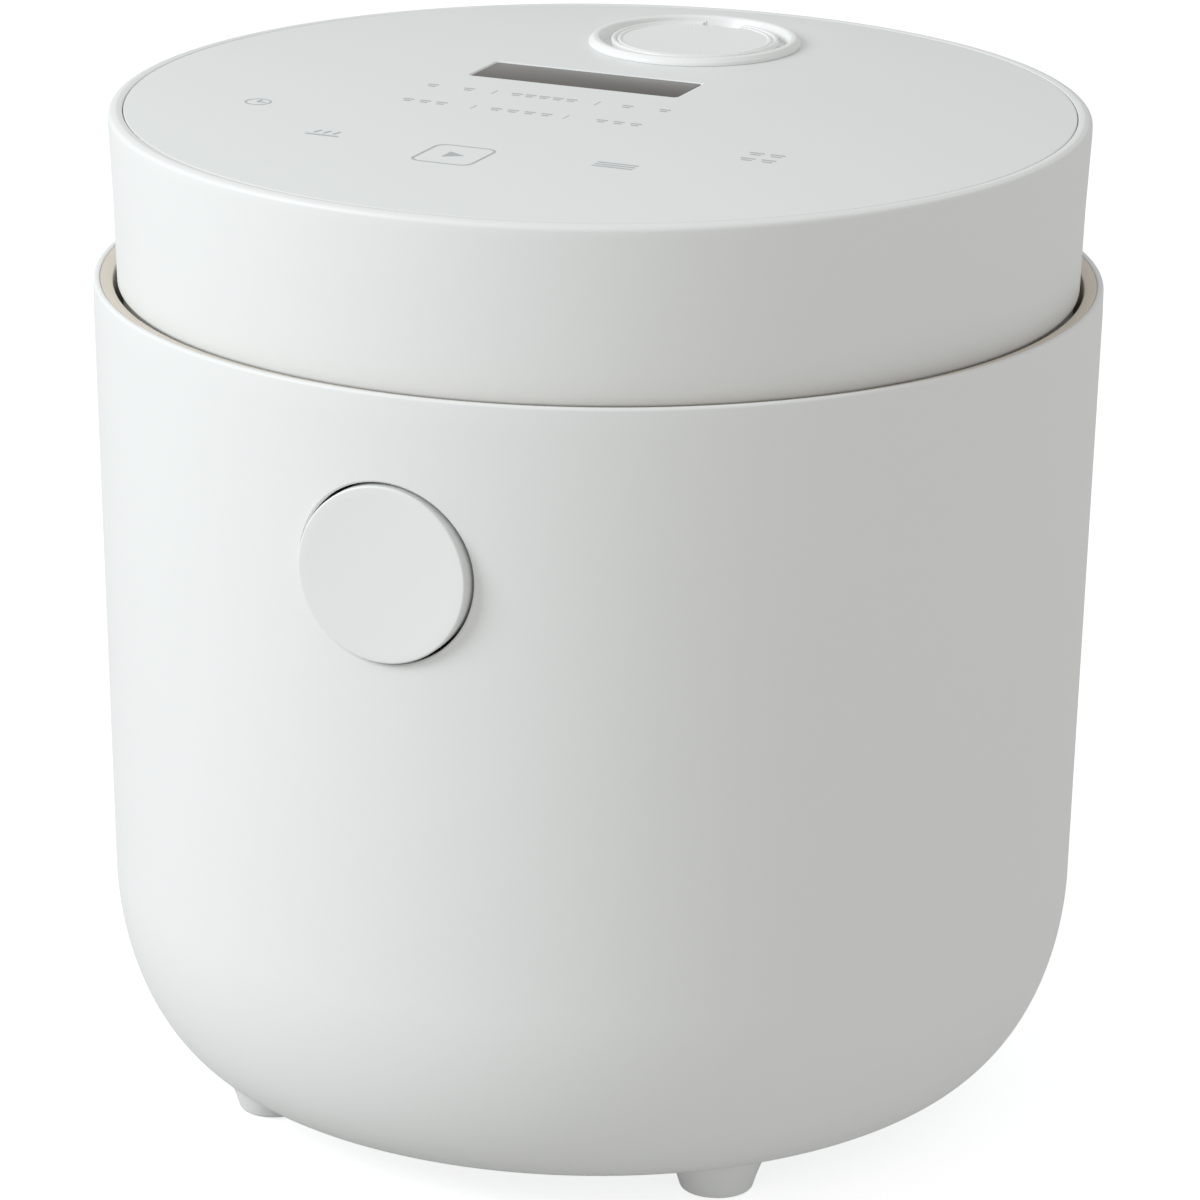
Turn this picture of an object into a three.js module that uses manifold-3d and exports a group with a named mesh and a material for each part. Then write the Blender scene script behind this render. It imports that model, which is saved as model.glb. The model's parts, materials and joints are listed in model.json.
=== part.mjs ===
// Round counter-top rice cooker: a white drum on four feet with a drop-in lid drum, a round release
// button on the front, a touch panel and a lift-out steam cap on the lid, and a hinge housing behind.
// Units are millimetres, +Z is up, and the front with the button faces -Y. Every piece is drawn about
// the upright axis of the body, and the finished group is then moved so that its footprint is centred.
import * as THREE from "three";
import { mergeVertices } from "three/addons/utils/BufferGeometryUtils.js";
import Module from "manifold-3d";

const wasm = await Module();
wasm.setup();

// ---------------------------------------------------------------- driving dimensions
const BODY_Y = -13; // the body axis, seen from the middle of the footprint
const GAP = 0.3; // clearance between pieces that rest on each other
const RIM = { r: 108, z: 182.8, lip: 2.5 }; // top edge of the outer shell
const WALL = { r: 104.8, z: 53 }; // where the straight wall turns into the rounded bottom
const BASE = { r: 76.6, z: 7 }; // where the rounded bottom meets the flat underside
const SKIN = 2.5; // wall of the moulded covers
const SEAM_DEG = 18.5; // angle on the rounded bottom where shell and base plate part
const FOOT = { ring: 74, top: 10.3, foot: 7.7, pad: 6, peg: 3, z: 8.8, peak: 11.5 };
const LID = { top: 219, bottom: 170.6, r: 104.45, rimR: 102.6, footR: 102, skin: 2.3, waist: 200 };
const PANEL = { r: 101.2, t: 2 };
const DISPLAY = { x: -13.1, y: 22, w: 48.4, d: 14.6, frame: 0.2 };
const STEAM = { x: -5.8, y: 65.5, cup: 21.4, cupWall: 1.4, floor: 208, duct: 6, ductWall: 2 };
const CAP = { r: 23.8, rise: 1.4, dip: 2.2, plug: 18.8, wall: 1.6, deep: 8.6, vent: 4.5 };
const BUTTON = { z: 145, r: 18.6, hole: 19.2, skirt: 2, stem: 2.5, proud: 0.7, back: -101 };
const POT = { r: 78.5, t: 2.2, bottom: 60, top: 165.6, flange: 85, corner: 18 };
const SEAT = { ledge: 166.5, pot: 163.4, r: 86, inner: 80.6 };
const CHAMBER = { r: 80, t: 0.8, bottom: 42, top: 161.2, flange: 86, corner: 12 };
const HEATER = { ring: 50, r: 3.1, z: 46.4 };
const SENSOR = { r: 16.2, top: 59.7, hole: 17.5, stem: 3, bracket: 37.5 };
const CHASSIS = { z: 27, t: 2.5, inner: 48, outer: 94, post: 62 };
const BOARD = { w: 80, d: 54, t: 1.6, z: 14.2 };
const HINGE = { y: 115, z: 191, pin: 2.5, bore: 2.8, knuckle: 7.6 };
const HOUSING = { back: 134, bottom: 52, top: 181.5, half: 38, backHalf: 30 };
const ARM = { from: 13, to: 23.5, plateY: 92.5, plateBack: 94.8, plateHalf: 26.5 }; // lid side of the hinge
const EAR = { from: 24.5, to: 31 }; // housing side of the hinge
const INLET = { z: 84, w: 29.4, h: 19.4, mouthW: 23, mouthH: 13, depth: 13 };
const LATCH = { y: -92.5, z: 88, bore: 1.7, pin: 1.4, half: 4.5 };
const STRIKER = { y: -97.2, z: 172.9, top: 174.2 };

const BOARD_SPOTS = [[-36, -23], [36, -23], [36, 23], [-36, 23]]; // standoffs under the mains board
const INNER_LID = { r: 83, z: 167, t: 1.4, dish: 1.5, dishR: 60, neck: 3.5 };
const LINER = { r: 99.3, z: 170.8, t: 1.8 };
const LID_BOARD = { z: 205.5, t: 1.6, x: [-61, 39], y: [-52, 34] };
const HINGE_SCREW_X = [-4, 4];
const POST_ANGLES = [90, 210, 330]; // chassis posts and base screws
const CORNERS = [
  ["front_left", 225],
  ["front_right", 315],
  ["back_right", 45],
  ["back_left", 135],
];

const SEG = { large: 40, medium: 26, small: 12, tiny: 8 };

const WHITE = { color: 0xe9ebe9, roughness: 0.55, metalness: 0 };
const CREAM = { color: 0xd9d0c6, roughness: 0.6, metalness: 0 };
const PANEL_WHITE = { color: 0xdde0df, roughness: 0.3, metalness: 0 };
const SMOKED = { color: 0x5c5752, roughness: 0.2, metalness: 0 };
const SILICONE = { color: 0xc9c9c6, roughness: 0.8, metalness: 0 };
const NON_STICK = { color: 0x3b3a39, roughness: 0.45, metalness: 0.2 };
const ALUMINIUM = { color: 0xb9bcc0, roughness: 0.35, metalness: 1 };
const STEEL = { color: 0xa9acb0, roughness: 0.4, metalness: 1 };
const BRASS = { color: 0xc3a45c, roughness: 0.35, metalness: 1 };
const CIRCUIT = { color: 0x2f6b45, roughness: 0.5, metalness: 0 };
const DARK = { color: 0x3a3c40, roughness: 0.6, metalness: 0 };

// ---------------------------------------------------------------- geometry helpers
const rad = THREE.MathUtils.degToRad;

// A profile of [radius, height] pairs turned about the upright axis through (x, y). Pairs that start
// and end on the axis stay open there; any other profile is closed on itself.
function turned(profile, segments, x = 0, y = 0) {
  const points = profile.map(([r, z]) => new THREE.Vector2(r, z));
  const onAxis = points[0].x < 1e-6 && points[points.length - 1].x < 1e-6;
  if (!onAxis) points.push(points[0].clone());
  if (THREE.ShapeUtils.area(points) < 0) points.reverse();
  return new THREE.LatheGeometry(points, segments).rotateX(Math.PI / 2).translate(x, y, 0);
}

// A plain ring or disc between two heights.
function disc(outer, z0, z1, segments, x = 0, y = 0, inner = 0) {
  return turned([[inner, z0], [outer, z0], [outer, z1], [inner, z1]], segments, x, y);
}

// A box given by its lowest and highest corners.
function block([x0, y0, z0], [x1, y1, z1]) {
  const box = new THREE.BoxGeometry(x1 - x0, y1 - y0, z1 - z0);
  return box.translate((x0 + x1) / 2, (y0 + y1) / 2, (z0 + z1) / 2);
}

// A round bar between two points.
function bar(from, to, radius, segments = SEG.tiny) {
  const a = new THREE.Vector3(...from);
  const b = new THREE.Vector3(...to);
  const along = b.clone().sub(a);
  const turn = new THREE.Quaternion().setFromUnitVectors(
    new THREE.Vector3(0, 1, 0),
    along.clone().normalize(),
  );
  const middle = a.add(b).multiplyScalar(0.5);
  const rod = new THREE.CylinderGeometry(radius, radius, along.length(), segments);
  return rod.applyQuaternion(turn).translate(middle.x, middle.y, middle.z);
}

// A flat outline of [a, b] pairs given a thickness. Across "x" the outline lies in the YZ plane and
// spans x0 to x1; across "z" it lies in the XY plane and spans two heights.
function slab(outline, from, to, across) {
  const shape = new THREE.Shape(outline.map(([a, b]) => new THREE.Vector2(a, b)));
  const made = new THREE.ExtrudeGeometry(shape, { depth: to - from, bevelEnabled: false });
  made.translate(0, 0, from);
  if (across === "x") made.rotateX(Math.PI / 2).rotateZ(Math.PI / 2);
  return made;
}

// A round wire swept along a curve.
function wire(curve, radius, steps, sides) {
  const section = new THREE.Shape().absarc(0, 0, radius, 0, 2 * Math.PI);
  const options = { steps, curveSegments: sides / 2, extrudePath: curve, bevelEnabled: false };
  return new THREE.ExtrudeGeometry(section, options);
}

// A coil spring along an axis given by its two end points.
function coil(from, to, radius, wireRadius, turns) {
  const a = new THREE.Vector3(...from);
  const along = new THREE.Vector3(...to).sub(a);
  const unit = along.clone().normalize();
  const side = new THREE.Vector3(1, 0, 0).cross(unit).lengthSq() > 0.5
    ? new THREE.Vector3(1, 0, 0)
    : new THREE.Vector3(0, 1, 0);
  const other = unit.clone().cross(side);
  const points = [];
  const count = Math.round(turns * 10);
  for (let i = 0; i <= count; i++) {
    const angle = (2 * Math.PI * turns * i) / count;
    points.push(
      a.clone()
        .addScaledVector(along, i / count)
        .addScaledVector(side, radius * Math.cos(angle))
        .addScaledVector(other, radius * Math.sin(angle)),
    );
  }
  return wire(new THREE.CatmullRomCurve3(points), wireRadius, count, 6);
}

function solid(geometry) {
  const bare = geometry.clone();
  bare.deleteAttribute("normal");
  bare.deleteAttribute("uv");
  const merged = mergeVertices(bare, 1e-4);
  return new wasm.Manifold(
    new wasm.Mesh({
      numProp: 3,
      vertProperties: new Float32Array(merged.attributes.position.array),
      triVerts: new Uint32Array(merged.index.array),
    }),
  );
}

function geometryOf(manifold) {
  const mesh = manifold.getMesh();
  const made = new THREE.BufferGeometry();
  made.setAttribute("position", new THREE.BufferAttribute(mesh.vertProperties, 3));
  made.setIndex(new THREE.BufferAttribute(mesh.triVerts, 1));
  made.computeVertexNormals();
  return made;
}

const join = (first, ...rest) =>
  geometryOf(rest.reduce((whole, next) => whole.add(solid(next)), solid(first)));
const cut = (first, ...rest) =>
  geometryOf(rest.reduce((whole, next) => whole.subtract(solid(next)), solid(first)));
const common = (a, b) => geometryOf(solid(a).intersect(solid(b)));

function piece(name, geometry, look) {
  const mesh = new THREE.Mesh(geometry, new THREE.MeshStandardMaterial(look));
  mesh.name = name;
  return mesh;
}

function group(name, ...children) {
  const made = new THREE.Group();
  made.name = name;
  made.add(...children);
  return made;
}

// Points on the rounded bottom between two angles, moved inwards by a wall thickness.
function bottomCurve(fromDeg, toDeg, steps, inset = 0) {
  const points = [];
  for (let i = 0; i <= steps; i++) {
    const angle = rad(fromDeg + ((toDeg - fromDeg) * i) / steps);
    const flat = BASE.r - 0.8 * inset;
    points.push([
      flat + (WALL.r - inset - flat) * Math.sin(angle),
      WALL.z - (WALL.z - BASE.z - inset) * Math.cos(angle),
    ]);
  }
  return points;
}

const wallRadius = (z) => WALL.r + ((RIM.r - WALL.r) * (z - WALL.z)) / (RIM.z - WALL.z);
const onRing = (radius, deg) => [radius * Math.cos(rad(deg)), radius * Math.sin(rad(deg))];

// ---------------------------------------------------------------- body
// The closed outline of the whole drum, grown or shrunk by an offset, for trimming other pieces.
function drum(offset) {
  return turned(
    [
      [0, BASE.z - offset],
      ...bottomCurve(0, 90, 8).map(([r, z]) => [r + offset, z - (z < WALL.z ? offset : 0)]),
      [RIM.r + offset, RIM.z],
      [0, RIM.z],
    ],
    SEG.large,
  );
}

function outerShell() {
  const inner = RIM.r - RIM.lip;
  const skin = turned(
    [
      ...bottomCurve(SEAM_DEG, 90, 5),
      [RIM.r, RIM.z - 1.3],
      [RIM.r - 0.9, RIM.z],
      [inner + 0.5, RIM.z],
      [inner, RIM.z - 1],
      ...bottomCurve(SEAM_DEG, 90, 3, SKIN).reverse(),
    ],
    SEG.large,
  );
  const buttonHole = bar(
    [0, -RIM.r - 5, BUTTON.z], [0, -RIM.r + 14, BUTTON.z], BUTTON.hole, SEG.medium,
  );
  const cableHole = block([-12, WALL.r - 12, 66], [12, RIM.r + 2, 100]);
  return piece("outer_shell", cut(skin, buttonHole, cableHole), WHITE);
}

// The funnel and ledge between the shell's lip and the pot, with a slot for the latch hook.
function rimCollar() {
  const under = SEAT.ledge - 2;
  const ring = turned(
    [
      [RIM.r - 2.9, RIM.z - 0.9],
      [RIM.r - 3.7, RIM.z - 0.9],
      [RIM.r - 4.3, 176],
      [RIM.r - 4.6, 168],
      [RIM.r - 5.1, SEAT.ledge],
      [SEAT.r + 0.6, SEAT.ledge],
      [SEAT.r, SEAT.ledge - 0.6],
      [SEAT.r, SEAT.pot],
      [SEAT.inner, SEAT.pot],
      [SEAT.inner, SEAT.pot - 1.8],
      [SEAT.r + 2, SEAT.pot - 1.8],
      [SEAT.r + 2, under],
      [RIM.r - 4.2, under],
      [RIM.r - 3.4, under + 1],
    ],
    SEG.large,
  );
  const slot = block([-6.5, -100, under - 1], [6.5, -89, SEAT.ledge + 1]);
  return piece("rim_collar", cut(ring, slot), CREAM);
}

function heatChamber() {
  const { r, t, bottom, top, flange, corner } = CHAMBER;
  const can = turned(
    [
      [19, bottom],
      [r + t - corner, bottom],
      [r + t - 0.3 * corner, bottom + 0.3 * corner],
      [r + t, bottom + corner],
      [r + t, top - t],
      [flange, top - t],
      [flange, top],
      [r, top],
      [r, bottom + corner + 0.3],
      [r - 0.29 * corner, bottom + t + 0.28 * corner],
      [r - corner, bottom + t],
      [19, bottom + t],
    ],
    SEG.medium,
  );
  const holes = [heaterEnd(1), heaterEnd(-1)].map(([x, y]) => disc(5.6, 38, 50, SEG.tiny, x, y));
  return piece("heat_chamber", cut(can, ...holes), STEEL);
}

// The removable cooking pot: rounded bottom, straight wall and a turned-out flange.
function innerPot() {
  const { r, t, bottom, top, flange, corner } = POT;
  const round = (radius) =>
    [0, 30, 60, 90].map((deg) => [
      r - corner + radius * Math.sin(rad(deg)),
      bottom + corner - radius * Math.cos(rad(deg)),
    ]);
  const wall = turned(
    [
      [0, bottom],
      ...round(corner),
      [r, SEAT.pot + GAP],
      [flange - 0.6, SEAT.pot + GAP],
      [flange, SEAT.pot + GAP + 0.7],
      [flange - 0.6, top],
      [r - t + 1.2, top],
      [r - t, top - 1.2],
      ...round(corner - t).reverse(),
      [0, bottom + t],
    ],
    SEG.medium,
  );
  return piece("inner_pot", wall, NON_STICK);
}

function heatingPlate() {
  const top = POT.bottom - 0.4;
  const casting = turned(
    [
      [SENSOR.hole, top - 9.6],
      [70, top - 9.6],
      [73, top - 6.5],
      [73, top - 3.6],
      [62, top],
      [SENSOR.hole, top],
    ],
    SEG.medium,
  );
  const legs = [30, 150, 270].map((deg) =>
    disc(3, CHAMBER.bottom + CHAMBER.t + GAP, top - 9, SEG.tiny, ...onRing(63, deg)),
  );
  return piece("heating_plate", join(casting, ...legs), ALUMINIUM);
}

// Where each end of the heater ring turns down, on its own side of the X axis.
function heaterEnd(side) {
  return onRing(HEATER.ring, side * 16);
}

function heaterElement() {
  const points = [];
  const [x, y] = heaterEnd(1);
  points.push(new THREE.Vector3(x, y, CHAMBER.bottom - 6), new THREE.Vector3(x, y, HEATER.z - 4));
  for (let deg = 24; deg <= 336.5; deg += 17.33) {
    points.push(new THREE.Vector3(...onRing(HEATER.ring, deg), HEATER.z));
  }
  points.push(new THREE.Vector3(x, -y, HEATER.z - 4), new THREE.Vector3(x, -y, CHAMBER.bottom - 6));
  const path = new THREE.CatmullRomCurve3(points, false, "centripetal");
  return piece("heater_element", wire(path, HEATER.r - 0.6, 40, 6), STEEL);
}

// Ring that carries the heat chamber on short posts and takes the base screws in longer ones.
function chassis() {
  const { z, t, inner, outer, post } = CHASSIS;
  const spots = POST_ANGLES.map((deg) => onRing(post, deg));
  const ring = disc(outer, z, z + t, SEG.medium, 0, 0, inner);
  const posts = spots.map(([x, y]) => disc(4.2, BASE.z + SKIN + 0.6, CHAMBER.bottom - 0.4, SEG.tiny, x, y));
  const pilots = spots.map(([x, y]) => disc(1.8, BASE.z, z - 5, SEG.tiny, x, y));
  return piece("chassis", cut(join(ring, ...posts), ...pilots), DARK);
}

function sensorBracket() {
  const z = SENSOR.bracket;
  const ends = [-1, 1].map((side) =>
    block([32 * side - 2, -9, z], [32 * side + 2, 9, CHAMBER.bottom - GAP]),
  );
  const strap = join(block([-34, -9, z], [34, 9, z + 1.7]), ...ends);
  return piece(
    "sensor_bracket",
    cut(strap, disc(SENSOR.stem + 0.4, z - 1, z + 3, SEG.tiny)),
    STEEL,
  );
}

function thermalFuse() {
  const z = SENSOR.bracket - 2.8;
  return piece("thermal_fuse", bar([24, -7, z], [24, 7, z], 2.6), DARK);
}

// The mains board under the heater, with its three tall components.
function powerElectronics() {
  const top = BOARD.z + BOARD.t;
  const board = block([-BOARD.w / 2, -BOARD.d / 2, BOARD.z], [BOARD.w / 2, BOARD.d / 2, top]);
  return [
    piece("power_board", board, CIRCUIT),
    piece("transformer", block([-31, -20, top + GAP], [-7, 0, top + 17]), DARK),
    piece("relay", block([12, -20, top + GAP], [27, -8, top + 14]), DARK),
    piece("capacitor", disc(6, top + GAP, top + 15, SEG.tiny, 18, 12), STEEL),
  ];
}

// ---------------------------------------------------------------- underside
function basePlate() {
  const inside = BASE.z + SKIN;
  const dish = turned(
    [
      [0, BASE.z],
      ...bottomCurve(0, SEAM_DEG - 0.6, 3),
      ...bottomCurve(0, SEAM_DEG - 0.6, 2, SKIN).reverse(),
      [0, inside],
    ],
    SEG.large,
  );
  const standoffs = BOARD_SPOTS.map(([x, y]) =>
    disc(2.5, inside - 1, BOARD.z - GAP, SEG.tiny, x, y),
  );
  const sockets = CORNERS.flatMap(([, deg]) => {
    const [x, y] = onRing(FOOT.ring, deg);
    return [
      disc(FOOT.top + GAP, BASE.z - 1, FOOT.z + GAP, SEG.small, x, y),
      disc(FOOT.peg + GAP, BASE.z - 1, inside + 2, SEG.tiny, x, y),
    ];
  });
  const screwHoles = POST_ANGLES.flatMap((deg) => {
    const [x, y] = onRing(CHASSIS.post, deg);
    return [disc(1.8, BASE.z - 1, inside + 1, SEG.tiny, x, y), disc(3.6, 6, 8, SEG.tiny, x, y)];
  });
  const vents = [0, 60, 120, 180, 240, 300].map((deg) =>
    block([28, -1.5, BASE.z - 1], [48, 1.5, inside + 1]).rotateZ(rad(deg)),
  );
  return piece("base_plate", cut(join(dish, ...standoffs), ...sockets, ...screwHoles, ...vents), WHITE);
}

// Each foot is a tapered plug pegged into the base plate, with a soft pad let into its end.
function feet() {
  return CORNERS.flatMap(([corner, deg]) => {
    const [x, y] = onRing(FOOT.ring, deg);
    const plug = turned(
      [
        [0, 1.9],
        [FOOT.pad, 1.9],
        [FOOT.pad, 0.4],
        [FOOT.foot - 0.6, 0.4],
        [FOOT.foot + 0.6, 1.8],
        [FOOT.top, FOOT.z],
        [FOOT.peg, FOOT.z],
        [FOOT.peg, FOOT.peak],
        [0, FOOT.peak],
      ],
      SEG.small,
      x,
      y,
    );
    return [
      piece("foot_" + corner, plug, WHITE),
      piece("pad_" + corner, disc(FOOT.pad - GAP, 0, 1.6, SEG.small, x, y), SILICONE),
    ];
  });
}

// A pan-head screw pointing up, its head underneath.
function uprightScrew(name, x, y, z, length, look = STEEL) {
  const body = turned(
    [
      [0, z],
      [2.6, z],
      [3.1, z + 0.7],
      [3.1, z + 1.5],
      [1.45, z + 1.5],
      [1.45, z + length - 1.5],
      [0, z + length],
    ],
    SEG.tiny,
    x,
    y,
  );
  return piece(name, cut(body, block([x - 2, y - 0.4, z - 1], [x + 2, y + 0.4, z + 0.7])), look);
}

function baseScrews() {
  return POST_ANGLES.map((deg, i) =>
    uprightScrew("base_screw_" + (i + 1), ...onRing(CHASSIS.post, deg), 6.3, 14),
  );
}

// ---------------------------------------------------------------- rear housing, hinge pin and inlet
const around = (y, z, radius, fromDeg, toDeg, steps) =>
  Array.from({ length: steps + 1 }, (_, i) => {
    const angle = rad(fromDeg + ((toDeg - fromDeg) * i) / steps);
    return [y + radius * Math.cos(angle), z + radius * Math.sin(angle)];
  });

// Plan of the housing, narrowing towards its rounded back.
function housingPlan(inset) {
  const half = HOUSING.half - inset;
  const back = HOUSING.back - inset;
  const backHalf = HOUSING.backHalf - inset;
  return [
    [-half, 92],
    [half, 92],
    [half, 112],
    [half - 1.2, back - 8],
    [half - 3.6, back - 3],
    [backHalf, back],
    [-backHalf, back],
    [3.6 - half, back - 3],
    [1.2 - half, back - 8],
    [-half, 112],
  ];
}

// Side view of the housing, sloped in at its foot and eased at its top edge.
function housingSide(inset) {
  const back = HOUSING.back - inset;
  const top = HOUSING.top - inset;
  const bottom = HOUSING.bottom + inset;
  return [
    [90, bottom],
    [back - 16, bottom],
    [back - 4, bottom + 8],
    [back, bottom + 17],
    [back, top - 9],
    [back - 2.5, top - 3],
    [back - 9, top],
    [90, top],
  ];
}

function rearHousing() {
  const outside = common(
    slab(housingPlan(0), HOUSING.bottom, HOUSING.top, "z"),
    slab(housingSide(0), -HOUSING.half - 1, HOUSING.half + 1, "x"),
  );
  const hollow = common(
    slab(housingPlan(SKIN), HOUSING.bottom, HOUSING.top, "z"),
    slab(housingSide(SKIN), -HOUSING.half, HOUSING.half, "x"),
  );
  const { y, z, knuckle, bore } = HINGE;
  const ear = [[y + knuckle, HOUSING.top - 1], ...around(y, z, knuckle, 0, 180, 10),
    [y - knuckle, HOUSING.top - 1]];
  const ears = [-1, 1].map((side) =>
    slab(ear, side > 0 ? EAR.from : -EAR.to, side > 0 ? EAR.to : -EAR.from, "x"),
  );
  const mouth = block(
    [-INLET.w / 2 - GAP, HOUSING.back - 6, INLET.z - INLET.h / 2 - GAP],
    [INLET.w / 2 + GAP, HOUSING.back + 2, INLET.z + INLET.h / 2 + GAP],
  );
  const pinHole = bar([-40, y, z], [40, y, z], bore, SEG.tiny);
  const cover = cut(outside, hollow, drum(GAP), mouth);
  return piece("rear_housing", cut(join(cover, ...ears), pinHole), WHITE);
}

function hingePin() {
  const { y, z, pin } = HINGE;
  return piece("hinge_pin", bar([-32, y, z], [32, y, z], pin), STEEL);
}

// A recessed two-pin appliance inlet let into the back of the housing.
function powerInlet() {
  const { z, w, h, mouthW, mouthH, depth } = INLET;
  const back = HOUSING.back;
  const body = block([-w / 2, back - depth - 4, z - h / 2], [w / 2, back, z + h / 2]);
  const mouth = block(
    [-mouthW / 2, back - depth, z - mouthH / 2], [mouthW / 2, back + 1, z + mouthH / 2],
  );
  const pins = [-1, 1].map((side) => [5.5 * side, z]);
  const holes = pins.map(([x]) => bar([x, back - depth - 6, z], [x, back - depth + 1, z], 1.8));
  return [
    piece("inlet_socket", cut(body, mouth, ...holes), DARK),
    ...pins.map(([x], i) =>
      piece(
        i ? "inlet_pin_right" : "inlet_pin_left",
        bar([x, back - depth - 6, z], [x, back - 3, z], 1.5),
        BRASS,
      ),
    ),
  ];
}

// ---------------------------------------------------------------- release button and latch
const STEM_END = LATCH.y - 1.5;

function releaseButton() {
  const { z, r, skirt, back, proud } = BUTTON;
  const face = common(bar([0, -RIM.r - 4, z], [0, back, z], r, SEG.medium), drum(proud));
  const hollow = bar([0, back - 3.4, z], [0, back + 1, z], r - skirt, SEG.medium);
  const stem = bar([0, back - 4, z], [0, STEM_END, z], BUTTON.stem);
  return piece("release_button", join(cut(face, hollow), stem), WHITE);
}

// Sleeve and web behind the button: the sleeve guides its skirt and the web takes its spring. The
// sleeve's top is trimmed to stay clear of the collar's ledge.
function buttonGuide() {
  const { z, back, hole, stem } = BUTTON;
  const web = { front: back + 2.8, back: back + 4.4 };
  const top = SEAT.ledge - 2 - GAP;
  const tube = bar([0, back - 5, z], [0, web.back, z], hole + 2, SEG.medium);
  const bore = bar([0, back - 6, z], [0, web.front, z], hole - 0.2, SEG.medium);
  const stemHole = bar([0, web.front - 1, z], [0, web.back + 1, z], stem + 0.4);
  const trim = block([-hole - 3, back - 9, top], [hole + 3, web.back + 1, top + 10]);
  const inside = drum(-SKIN - GAP);
  return piece("button_guide", cut(common(tube, inside), bore, stemHole, trim), DARK);
}

// Coil between the back of the button's face and the guide's web.
function buttonSpring() {
  const { z, back } = BUTTON;
  return piece("button_spring", coil([0, back - 2.6, z], [0, back + 2, z], 9, 0.6, 2), STEEL);
}

function latchBracket() {
  const { y, z, pin, half } = LATCH;
  const ears = [-1, 1].map((side) =>
    block([(half + 2) * side - 1, -101, z - 5], [(half + 2) * side + 1, y + 4, z + 5]),
  );
  const web = block([-half - 3, -102.2, z - 5], [half + 3, -100.2, z + 5]);
  const pinHole = bar([-12, y, z], [12, y, z], pin + GAP);
  return piece("latch_bracket", cut(join(web, ...ears), pinHole), STEEL);
}

function latchPin() {
  const { y, z, pin, half } = LATCH;
  return piece("latch_pin", bar([-half - 4, y, z], [half + 4, y, z], pin), STEEL);
}

// Upright lever: pivots at its foot, is pushed back by the button's stem and hooks over the striker.
function latchHook() {
  const { y, z, half, bore } = LATCH;
  const front = y - 1.2;
  const back = y + 1.3;
  const arm = slab(
    [
      [back, z],
      [back, 155],
      [back - 2.2, 160],
      [back - 2.2, 177.6],
      [front - 2.6, 177],
      [STRIKER.y - 1.7, STRIKER.top + 0.9],
      [STRIKER.y - 1.7, STRIKER.top + GAP],
      [front - 2.2, STRIKER.top + GAP],
      [front - 2.2, 160],
      [front, 155],
      [front, z],
    ],
    -half,
    half,
    "x",
  );
  const barrel = bar([-half, y, z], [half, y, z], 3.6);
  const pinHole = bar([-half - 1, y, z], [half + 1, y, z], bore);
  return piece("latch_hook", cut(join(barrel, arm), pinHole), DARK);
}

// ---------------------------------------------------------------- spring-loaded temperature sensor
function sensorCup() {
  const { r, top, stem } = SENSOR;
  const foot = SENSOR.bracket - 1;
  const cup = turned(
    [
      [0, foot],
      [stem, foot],
      [stem, top - 1.5],
      [r - 1.4, top - 1.5],
      [r - 1.4, 47],
      [r, 47],
      [r, top - 0.8],
      [r - 0.8, top],
      [0, top],
    ],
    SEG.small,
  );
  return piece("sensor_cup", cup, ALUMINIUM);
}

// Coil between the sensor's bracket and the top of its cup.
function sensorSpring() {
  const { bracket, top } = SENSOR;
  return piece("sensor_spring", coil([0, 0, bracket + 2.5], [0, 0, top - 2.4], 7, 0.7, 5), STEEL);
}

// ---------------------------------------------------------------- lid
function lidShell() {
  const { top, bottom, r, rimR, footR, skin, waist } = LID;
  const lip = PANEL.r + 0.4;
  const shelf = top - PANEL.t - GAP;
  const drumWall = turned(
    [
      [footR - 0.4, bottom],
      [footR, bottom + 0.5],
      [rimR, RIM.z],
      [rimR + 0.9, waist],
      [r, top - 2.2],
      [r - 0.5, top - 0.5],
      [r - 1.6, top + 0.1],
      [lip, top - 0.6],
      [lip, shelf],
      [lip - 4, shelf],
      [lip - 4, shelf - 2],
      [r - skin, shelf - 3.2],
      [rimR + 0.9 - skin, waist],
      [rimR - skin, RIM.z],
      [footR - skin - 0.1, bottom + 0.6],
      [footR - skin + 0.3, bottom],
    ],
    SEG.large,
  );
  const { z } = HINGE;
  const boss = block([-7.5, ARM.plateBack + 0.4, z - 5], [7.5, rimR - 0.7, z + 5]);
  const pilots = HINGE_SCREW_X.map((x) => bar([x, ARM.plateBack, z], [x, rimR - 2.1, z], 1.8));
  const middle = (ARM.from + ARM.to) / 2;
  const half = (ARM.to - ARM.from) / 2 + 0.5;
  const doors = [-middle, middle].map((x) =>
    block([x - half, rimR - 12, z - 6], [x + half, rimR + 6, z + 6]),
  );
  return piece("lid_shell", cut(join(drumWall, boss), ...pilots, ...doors), WHITE);
}

// The cut-out for the display window, grown by a margin.
function displayBlock(margin, z0, z1) {
  const { x, y, w, d } = DISPLAY;
  return block([x - w / 2 - margin, y - d / 2 - margin, z0], [x + w / 2 + margin, y + d / 2 + margin, z1]);
}

function touchPanel() {
  const z = LID.top - PANEL.t;
  const sheet = turned(
    [[0, z], [PANEL.r, z], [PANEL.r, LID.top - 0.4], [PANEL.r - 0.4, LID.top], [0, LID.top]],
    SEG.large,
  );
  const steamHole = disc(STEAM.cup + 0.4, z - 1, LID.top + 1, SEG.medium, STEAM.x, STEAM.y);
  const window = displayBlock(DISPLAY.frame, z - 1, LID.top + 1);
  return piece("touch_panel", cut(sheet, steamHole, window), PANEL_WHITE);
}

function lidElectronics() {
  const { z, t, x, y } = LID_BOARD;
  const under = LID.top - PANEL.t;
  return [
    piece("display_window", displayBlock(0, under, LID.top - 0.15), SMOKED),
    piece("display_module", displayBlock(-0.5, z + t + GAP, under - GAP), DARK),
    piece("control_board", block([x[0], y[0], z], [x[1], y[1], z + t]), CIRCUIT),
  ];
}

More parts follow.
